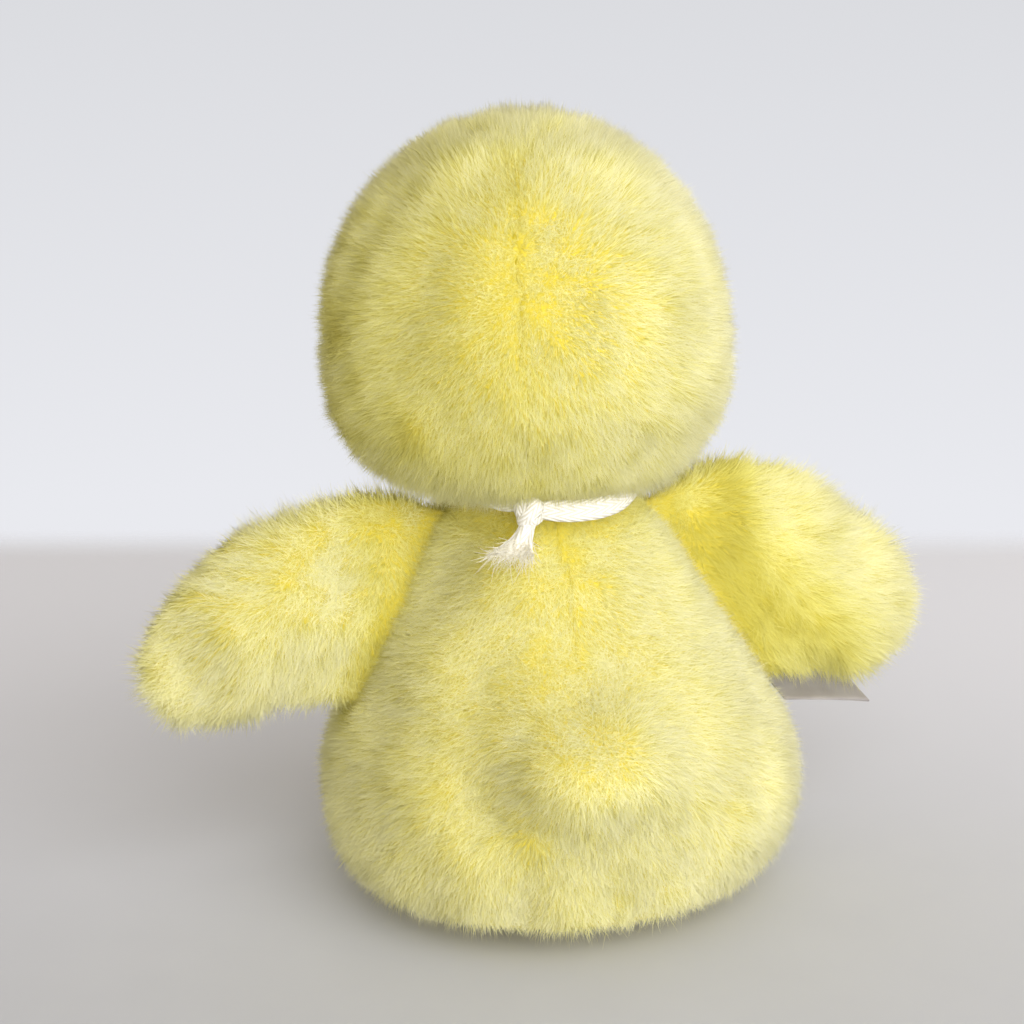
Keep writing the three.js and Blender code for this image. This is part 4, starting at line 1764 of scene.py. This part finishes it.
def threads(name: str, lines: np.ndarray, radius: float) -> bpy.types.Object:
    """Makes thin threads that taper to their ends.

    Args:
        name: The piece's name.
        lines: Points along each thread, as threads by points by three.
        radius: A thread's radius at its root.

    Returns:
        The threads, three-sided and closed by their points.
    """
    count, steps, sides = len(lines), lines.shape[1], 3
    ahead = unit(lines[:, -1] - lines[:, 0])
    first = unit(np.cross(ahead, [0.31, 0.84, 0.44]))
    second = np.cross(ahead, first)
    taper = np.linspace(1.0, 0.25, steps)[None, :, None, None] * radius
    turns = np.arange(sides) * 2 * math.pi / sides
    ring = (first[:, None] * np.cos(turns)[:, None] + second[:, None] * np.sin(turns)[:, None])[:, None]
    points = (lines[:, :, None] + ring * taper).reshape(-1, 3)
    faces = []
    for thread in range(count):
        start = thread * steps * sides
        for step in range(steps - 1):
            for side in range(sides):
                low, next_low = start + step * sides + side, start + step * sides + (side + 1) % sides
                faces.append((low, next_low, next_low + sides, low + sides))
        faces.append((start + 2, start + 1, start))
        end = start + (steps - 1) * sides
        faces.append((end, end + 1, end + 2))
    mesh = bpy.data.meshes.new(name)
    mesh.from_pydata(points.tolist(), [], faces)
    return new_object(name, mesh)


@dataclass
class NeckTape:
    """The cotton tape tied round the neck, with its knot and its frayed loose end.

    Attributes:
        width: The tape's width.
        thickness: Its thickness.
        radius: The band's radius.
        lift: How far it is pulled up under the head.
        lean: How far the band leans with the body's slope, in degrees.
        knot: Half the knot's height and depth.
        length: The loose end's length, less its fray.
        fray: How many loose threads it has.
        sunk: How far the band sinks into the pile away from the knot.
        slope: How far the loose end goes out and down.
        tied: Where it is tied.
        aside: The way across the knot.
        outward: The way from the neck to the knot.
    """

    width: float = 5.0 * MM
    thickness: float = 0.45 * MM
    radius: float = 27.5 * MM
    lift: float = 2.2 * MM
    lean: float = 10.0
    knot: tuple[float, float] = (3.4 * MM, 2.2 * MM)
    length: float = 8.0 * MM
    fray: int = 520
    sunk: float = 3.5 * MM
    slope: tuple[float, float] = (0.5382, 0.8428)
    tied: Vector = field(init=False)
    aside: Vector = field(init=False)
    outward: Vector = field(init=False)

    def __post_init__(self) -> None:
        """Finds where the tape is tied."""
        centre = joint_of("tape")[0] + UP * self.lift
        tied, self.aside = joint_of("tape_end")
        self.outward = ((tied - centre) * Vector((1.0, 1.0, 0.0))).normalized()
        self.tied = centre + self.outward * (self.radius + 0.6 * MM)

    def build(self, shop: Workshop) -> None:
        """Ties the tape.

        Args:
            shop: The materials.
        """
        shop.seat(self.band(), "tape", shop.twill, "cotton_tape", "tape_band")
        first = self.wrap("tape_knot_wrap", 8.0, 3.0 * MM, 0.0)
        shop.seat(first, "tape", shop.twill, "cotton_tape", "tape_knot")
        shop.seat(self.wrap("tape_knot_turn", -34.0, 2.0 * MM, 0.5 * MM), "tape", shop.twill, "cotton_tape")
        shop.seat(self.loose_end(), "tape_end", shop.twill, "cotton_tape", "tape_end")
        shop.seat(self.fringe(), "tape_end", shop.thread, "cotton_tape")

    def band(self) -> bpy.types.Object:
        """The ring round the neck, drawn in where the knot holds it and sunk into the pile away from it.

        Returns:
            The band.
        """
        centre = joint_of("tape")[0] + UP * self.lift
        start, lean = math.atan2(self.outward.y, self.outward.x), math.radians(self.lean)
        middle, across = [], []
        for step in range(193):
            turn = 2 * math.pi * step / 192
            gap = min(turn, 2 * math.pi - turn) * self.radius
            out = Vector((math.cos(start + turn), math.sin(start + turn), 0.0))
            wave = 0.3 * math.sin(7 * turn) + 0.2 * math.sin(11 * turn + 1)
            hidden = min(max(0.0, turn - 0.6) / 0.8, (2 * math.pi - turn) / 0.1, 1.0)
            middle.append(centre + out * (self.radius - self.sunk * hidden) + UP * (wave + 0.5 * hidden) * MM)
            edge = UP * math.cos(lean) - out * math.sin(lean)
            narrow = 0.28 * math.exp(-(gap / (4 * MM)) ** 2) + 0.4 * hidden
            across.append(edge * self.width / 2 * (1 - narrow))
        return ribbon("tape_band_weave", middle, across, self.thickness, crown=0.35 * MM)

    def wrap(self, name: str, tilt: float, half_width: float, swell: float) -> bpy.types.Object:
        """One turn of the tape over the knot.

        Args:
            name: The piece's name.
            tilt: How far it slants, in degrees.
            half_width: Half its width.
            swell: How far it lies over the turn beneath.

        Returns:
            The turn.
        """
        slant = Matrix.Rotation(math.radians(tilt), 3, self.outward)
        up, aside = slant @ UP, slant @ self.aside
        middle, across = [], []
        for step in range(49):
            turn = 2 * math.pi * step / 48 - math.pi / 2
            rise, out = (self.knot[0] + swell) * math.sin(turn), (self.knot[1] + swell) * math.cos(turn)
            middle.append(self.tied + up * rise + self.outward * out)
            pinch = 1 + 0.14 * math.sin(turn) + 0.05 * math.sin(3 * turn + 0.6)
            across.append(aside * half_width * pinch)
        return ribbon(name, middle, across, self.thickness, crown=1.3 * MM)

    def end_point(self, along: float, across: float) -> Vector:
        """A point of the loose end.

        Args:
            along: From 0 at the knot to 1 at the cut.
            across: From -1 to 1.

        Returns:
            The point.
        """
        out, drop = self.slope
        down = (self.outward * out - UP * drop).normalized()
        half = (1.7 + 3.2 * along ** 1.8) * MM
        middle = self.tied + self.outward * 0.5 * MM - UP * 1.6 * MM + down * self.length * along
        middle += self.aside * 3.6 * MM * along ** 1.3
        crease = math.sin(4.2 * across + 0.8) * 0.7 + math.sin(6 * along + 2.6 * across) * 0.45
        normal = self.outward * drop + UP * out
        return middle + self.aside * half * across + normal * crease * MM * (0.35 + 0.65 * along)

    def loose_end(self) -> bpy.types.Object:
        """The end that hangs from the knot and widens to its cut.

        Returns:
            The loose end.
        """
        bm = bmesh.new()
        steps, rows = 22, 18
        bmesh.ops.create_grid(bm, x_segments=steps, y_segments=rows, size=1.0)
        weave = bm.loops.layers.uv.new(WEAVE_MAP)
        for face in bm.faces:
            for loop in face.loops:
                place = loop.vert.co
                loop[weave].uv = ((place.x + 1) / 2 * self.length / MM, place.y * self.width / 2 / MM)
        rng = np.random.default_rng(17)
        ragged = rng.uniform(-0.06, 0.05, rows + 1)
        for vert in bm.verts:
            row = round((vert.co.y + 1) / 2 * rows)
            along = (vert.co.x + 1) / 2
            vert.co = self.end_point(along * (1 + ragged[row] * along), vert.co.y)
        bmesh.ops.recalc_face_normals(bm, faces=bm.faces)
        bmesh.ops.solidify(bm, geom=bm.faces, thickness=self.thickness)
        bmesh.ops.recalc_face_normals(bm, faces=bm.faces)
        return from_bmesh("tape_end_weave", bm)

    def fringe(self) -> bpy.types.Object:
        """The loose threads at the cut.

        Returns:
            The threads.
        """
        rng = np.random.default_rng(23)
        lines = []
        for _ in range(self.fray):
            across, along = rng.uniform(-1, 1), rng.uniform(0.3, 1.0) ** 0.5
            root = self.end_point(along, across)
            way = (root - self.end_point(along - 0.3, across * 0.8)).normalized()
            way = (way + Vector(rng.normal(0, 0.32, 3)) + self.outward * 0.45).normalized()
            bend = Vector(rng.normal(0, 0.4, 3)) - self.outward * 0.1
            reach = rng.uniform(1.4, 1.8 + 3.0 * along) * MM
            lines.append([root + (way * t + bend * t * t) * reach for t in np.linspace(0, 1, 5)])
        return threads("tape_end_threads", np.array(lines), 0.11 * MM)


@dataclass
class CareLabel:
    """The bare satin label, folded double and sewn into the side by its ends.

    Attributes:
        width: The ribbon's width.
        length: How far it stands out of the seam.
        tuck: How far its ends go into the seam.
        gap: The gap between its two leaves at the fold.
        lift: How far its front edge lifts, in degrees.
        rise: How far up the seam it is sewn in.
        outward: The way it stands out.
        droop: How much it points down.
    """

    width: float = 20.0 * MM
    length: float = 22.5 * MM
    tuck: float = 1.0 * MM
    gap: float = 0.5 * MM
    lift: float = 16.0
    rise: float = 3.2 * MM
    outward: Point = (-0.9903, -0.1392, 0.0)
    droop: float = 0.12

    def build(self, shop: Workshop) -> None:
        """Folds the ribbon and sews it in.

        Args:
            shop: The materials.
        """
        root, hinge = joint_of("label")
        root += UP * self.rise
        out = (Vector(self.outward) - UP * self.droop).normalized()
        up = out.cross(hinge).normalized()
        twist = Matrix.Rotation(math.radians(self.lift), 3, out)
        leaf = self.length + self.tuck - self.gap / 2
        flat = [leaf * step / 40 - self.tuck for step in range(41)]
        turns = [math.pi * step / 12 for step in range(1, 12)]
        fold = [(flat[-1] + self.gap / 2 * math.sin(turn), 0.5 * math.cos(turn)) for turn in turns]
        points, across = [], []
        for far, leaf_side in [(far, 0.5) for far in flat] + fold + [(far, -0.5) for far in reversed(flat)]:
            share = min(max(far / self.length, 0.0), 1.0)
            opened = self.gap * leaf_side * (0.25 + 0.75 * share)
            sag = -0.7 * MM * share * share
            points.append(root + out * far + (twist @ up) * (opened + sag))
            across.append((twist @ hinge) * self.width / 2)
        label = ribbon("care_label_satin", points, across, 0.18 * MM, 10)
        shop.seat(label, "label", shop.satin, "satin_label", "care_label")


# Camera, light and floor


@dataclass
class Studio:
    """The pale floor, the soft lamps and the camera at the photograph's angle.

    Attributes:
        azimuth: The camera's angle round the chick, in degrees.
        elevation: Its angle above the floor, in degrees.
        distance: How far it stands from the point it aims at.
        aim: That point.
        span: How wide the picture is at that point.
        lamps: Each lamp's name, its place to the right, up and towards the camera, its size and its power.
    """

    azimuth: float = 169.0
    elevation: float = 18.0
    distance: float = 0.6
    aim: Point = (9.4 * MM, -28.0 * MM, 82.6 * MM)
    span: float = 252.5 * MM
    lamps: tuple[tuple[str, Point, float, float], ...] = (
        ("key_lamp", (0.47, 0.2, 0.88), 1.4, 13.2), ("fill_lamp", (0.2, -0.06, 0.97), 0.9, 2.2),
        ("front_lamp", (0.25, 0.5, -0.9), 1.2, 1.4))

    def back(self) -> Vector:
        """The direction from the aim to the camera."""
        turn, rise = math.radians(self.azimuth), math.radians(self.elevation)
        return Vector((math.sin(turn) * math.cos(rise), -math.cos(turn) * math.cos(rise), math.sin(rise)))

    def build(self) -> None:
        """Sets up the whole studio."""
        self.camera()
        self.floor()
        self.world()
        right, toward = UP.cross(self.back()).normalized(), self.back()
        for name, (aside, rise, near), size, power in self.lamps:
            self.lamp(name, right * aside + UP * rise + toward * near, size, power)
        bpy.context.scene.view_settings.view_transform = "Standard"

    def camera(self) -> None:
        """Makes the camera."""
        data = bpy.data.cameras.new("camera")
        data.lens = data.sensor_width * self.distance / self.span
        data.clip_start, data.clip_end = 0.01, 10.0
        camera = new_object("camera", data)
        camera.location = Vector(self.aim) + self.back() * self.distance
        camera.rotation_mode = "QUATERNION"
        camera.rotation_quaternion = (-self.back()).to_track_quat("-Z", "Y")
        bpy.context.scene.camera = camera

    def lamp(self, name: str, place: Vector, size: float, power: float) -> None:
        """Hangs a soft square lamp that faces the chick.

        Args:
            name: Its name.
            place: Where it hangs, from the chick.
            size: How wide it is.
            power: Its power, in watts.
        """
        data = bpy.data.lights.new(name, "AREA")
        data.size = size
        data.energy = power
        lamp = new_object(name, data)
        lamp.location = place + Vector((0.0, 0.0, 0.08))
        lamp.rotation_mode = "QUATERNION"
        lamp.rotation_quaternion = (-place).to_track_quat("-Z", "Y")

    def floor(self) -> None:
        """Lays a pale floor with painted light, paler towards its straight far edge, whose rim fades into the
        backdrop.
        """
        bm = bmesh.new()
        bmesh.ops.create_circle(bm, cap_ends=True, segments=96, radius=0.6)
        floor = from_bmesh("floor", bm, smooth=False)
        shader = Shader("pale_floor", Roughness=0.6, Specular_IOR_Level=0.2)
        where = shader.place()
        far = shader.node("ShaderNodeVectorMath", {"operation": "LENGTH"}, {0: where}, 1)
        away = -(self.back() * Vector((1.0, 1.0, 0.0))).normalized()
        depth = shader.node("ShaderNodeVectorMath", {"operation": "DOT_PRODUCT"}, {0: where, 1: away}, 1)
        shown = (1 - far.smooth(0.36, 0.56)) * (1 - depth.smooth(0.228, 0.262))
        grain = shader.mix(shader.noise(40.0), srgb(191, 193, 199), srgb(185, 187, 193))
        # Painted light: the floor is paler towards its far edge.
        colour = shader.mix(depth.smooth(-0.14, 0.22), grain, srgb(224, 226, 235))
        floor.data.materials.append(shader.dress(Base_Color=colour, Alpha=shown))

    def world(self) -> None:
        """Lights the room evenly and shows the camera a pale backdrop."""
        world = bpy.data.worlds.new("backdrop")
        world.use_nodes = True
        bpy.context.scene.world = world
        nodes, links = world.node_tree.nodes, world.node_tree.links
        shown, light = nodes["Background"], nodes.new("ShaderNodeBackground")
        place, parts = nodes.new("ShaderNodeTexCoord"), nodes.new("ShaderNodeSeparateXYZ")
        height, wall = nodes.new("ShaderNodeMapRange"), nodes.new("ShaderNodeMix")
        path, join = nodes.new("ShaderNodeLightPath"), nodes.new("ShaderNodeMixShader")
        height.inputs["From Min"].default_value, height.inputs["From Max"].default_value = -0.3, -0.1
        wall.data_type = "RGBA"
        wall.inputs[6].default_value, wall.inputs[7].default_value = srgb(233, 234, 239), srgb(219, 220, 224)
        light.inputs["Color"].default_value, light.inputs["Strength"].default_value = srgb(247, 238, 225), 0.63
        for source, output, target, socket in (
                (place, "Generated", parts, 0), (parts, "Z", height, "Value"), (height, 0, wall, 0),
                (wall, 2, shown, "Color"), (path, "Is Camera Ray", join, "Fac"), (light, 0, join, 1),
                (shown, 0, join, 2), (join, 0, nodes["World Output"], "Surface")):
            links.new(source.outputs[output], target.inputs[socket])


def main() -> None:
    """Builds the chick piece by piece, and the studio."""
    logging.basicConfig(level=logging.INFO, format="%(message)s")
    Studio().build()
    shop = Workshop()
    beaks = [FeltPiece(node, "head", 0.5 * MM) for node in ("beak_upper", "beak_lower")]
    feet = [FeltPiece(f"foot_{side.word}_{layer}", f"foot_{side.word}")
            for side in Side for layer in ("top", "sole")]
    eyes = [Eye(side) for side in Side]
    wings = [Wing.on(side) for side in Side]
    for form in (Torso(), Head(), *wings, *beaks, *feet, *eyes, NeckTape(), CareLabel()):
        form.build(shop)


if __name__ == "__main__":
    main()
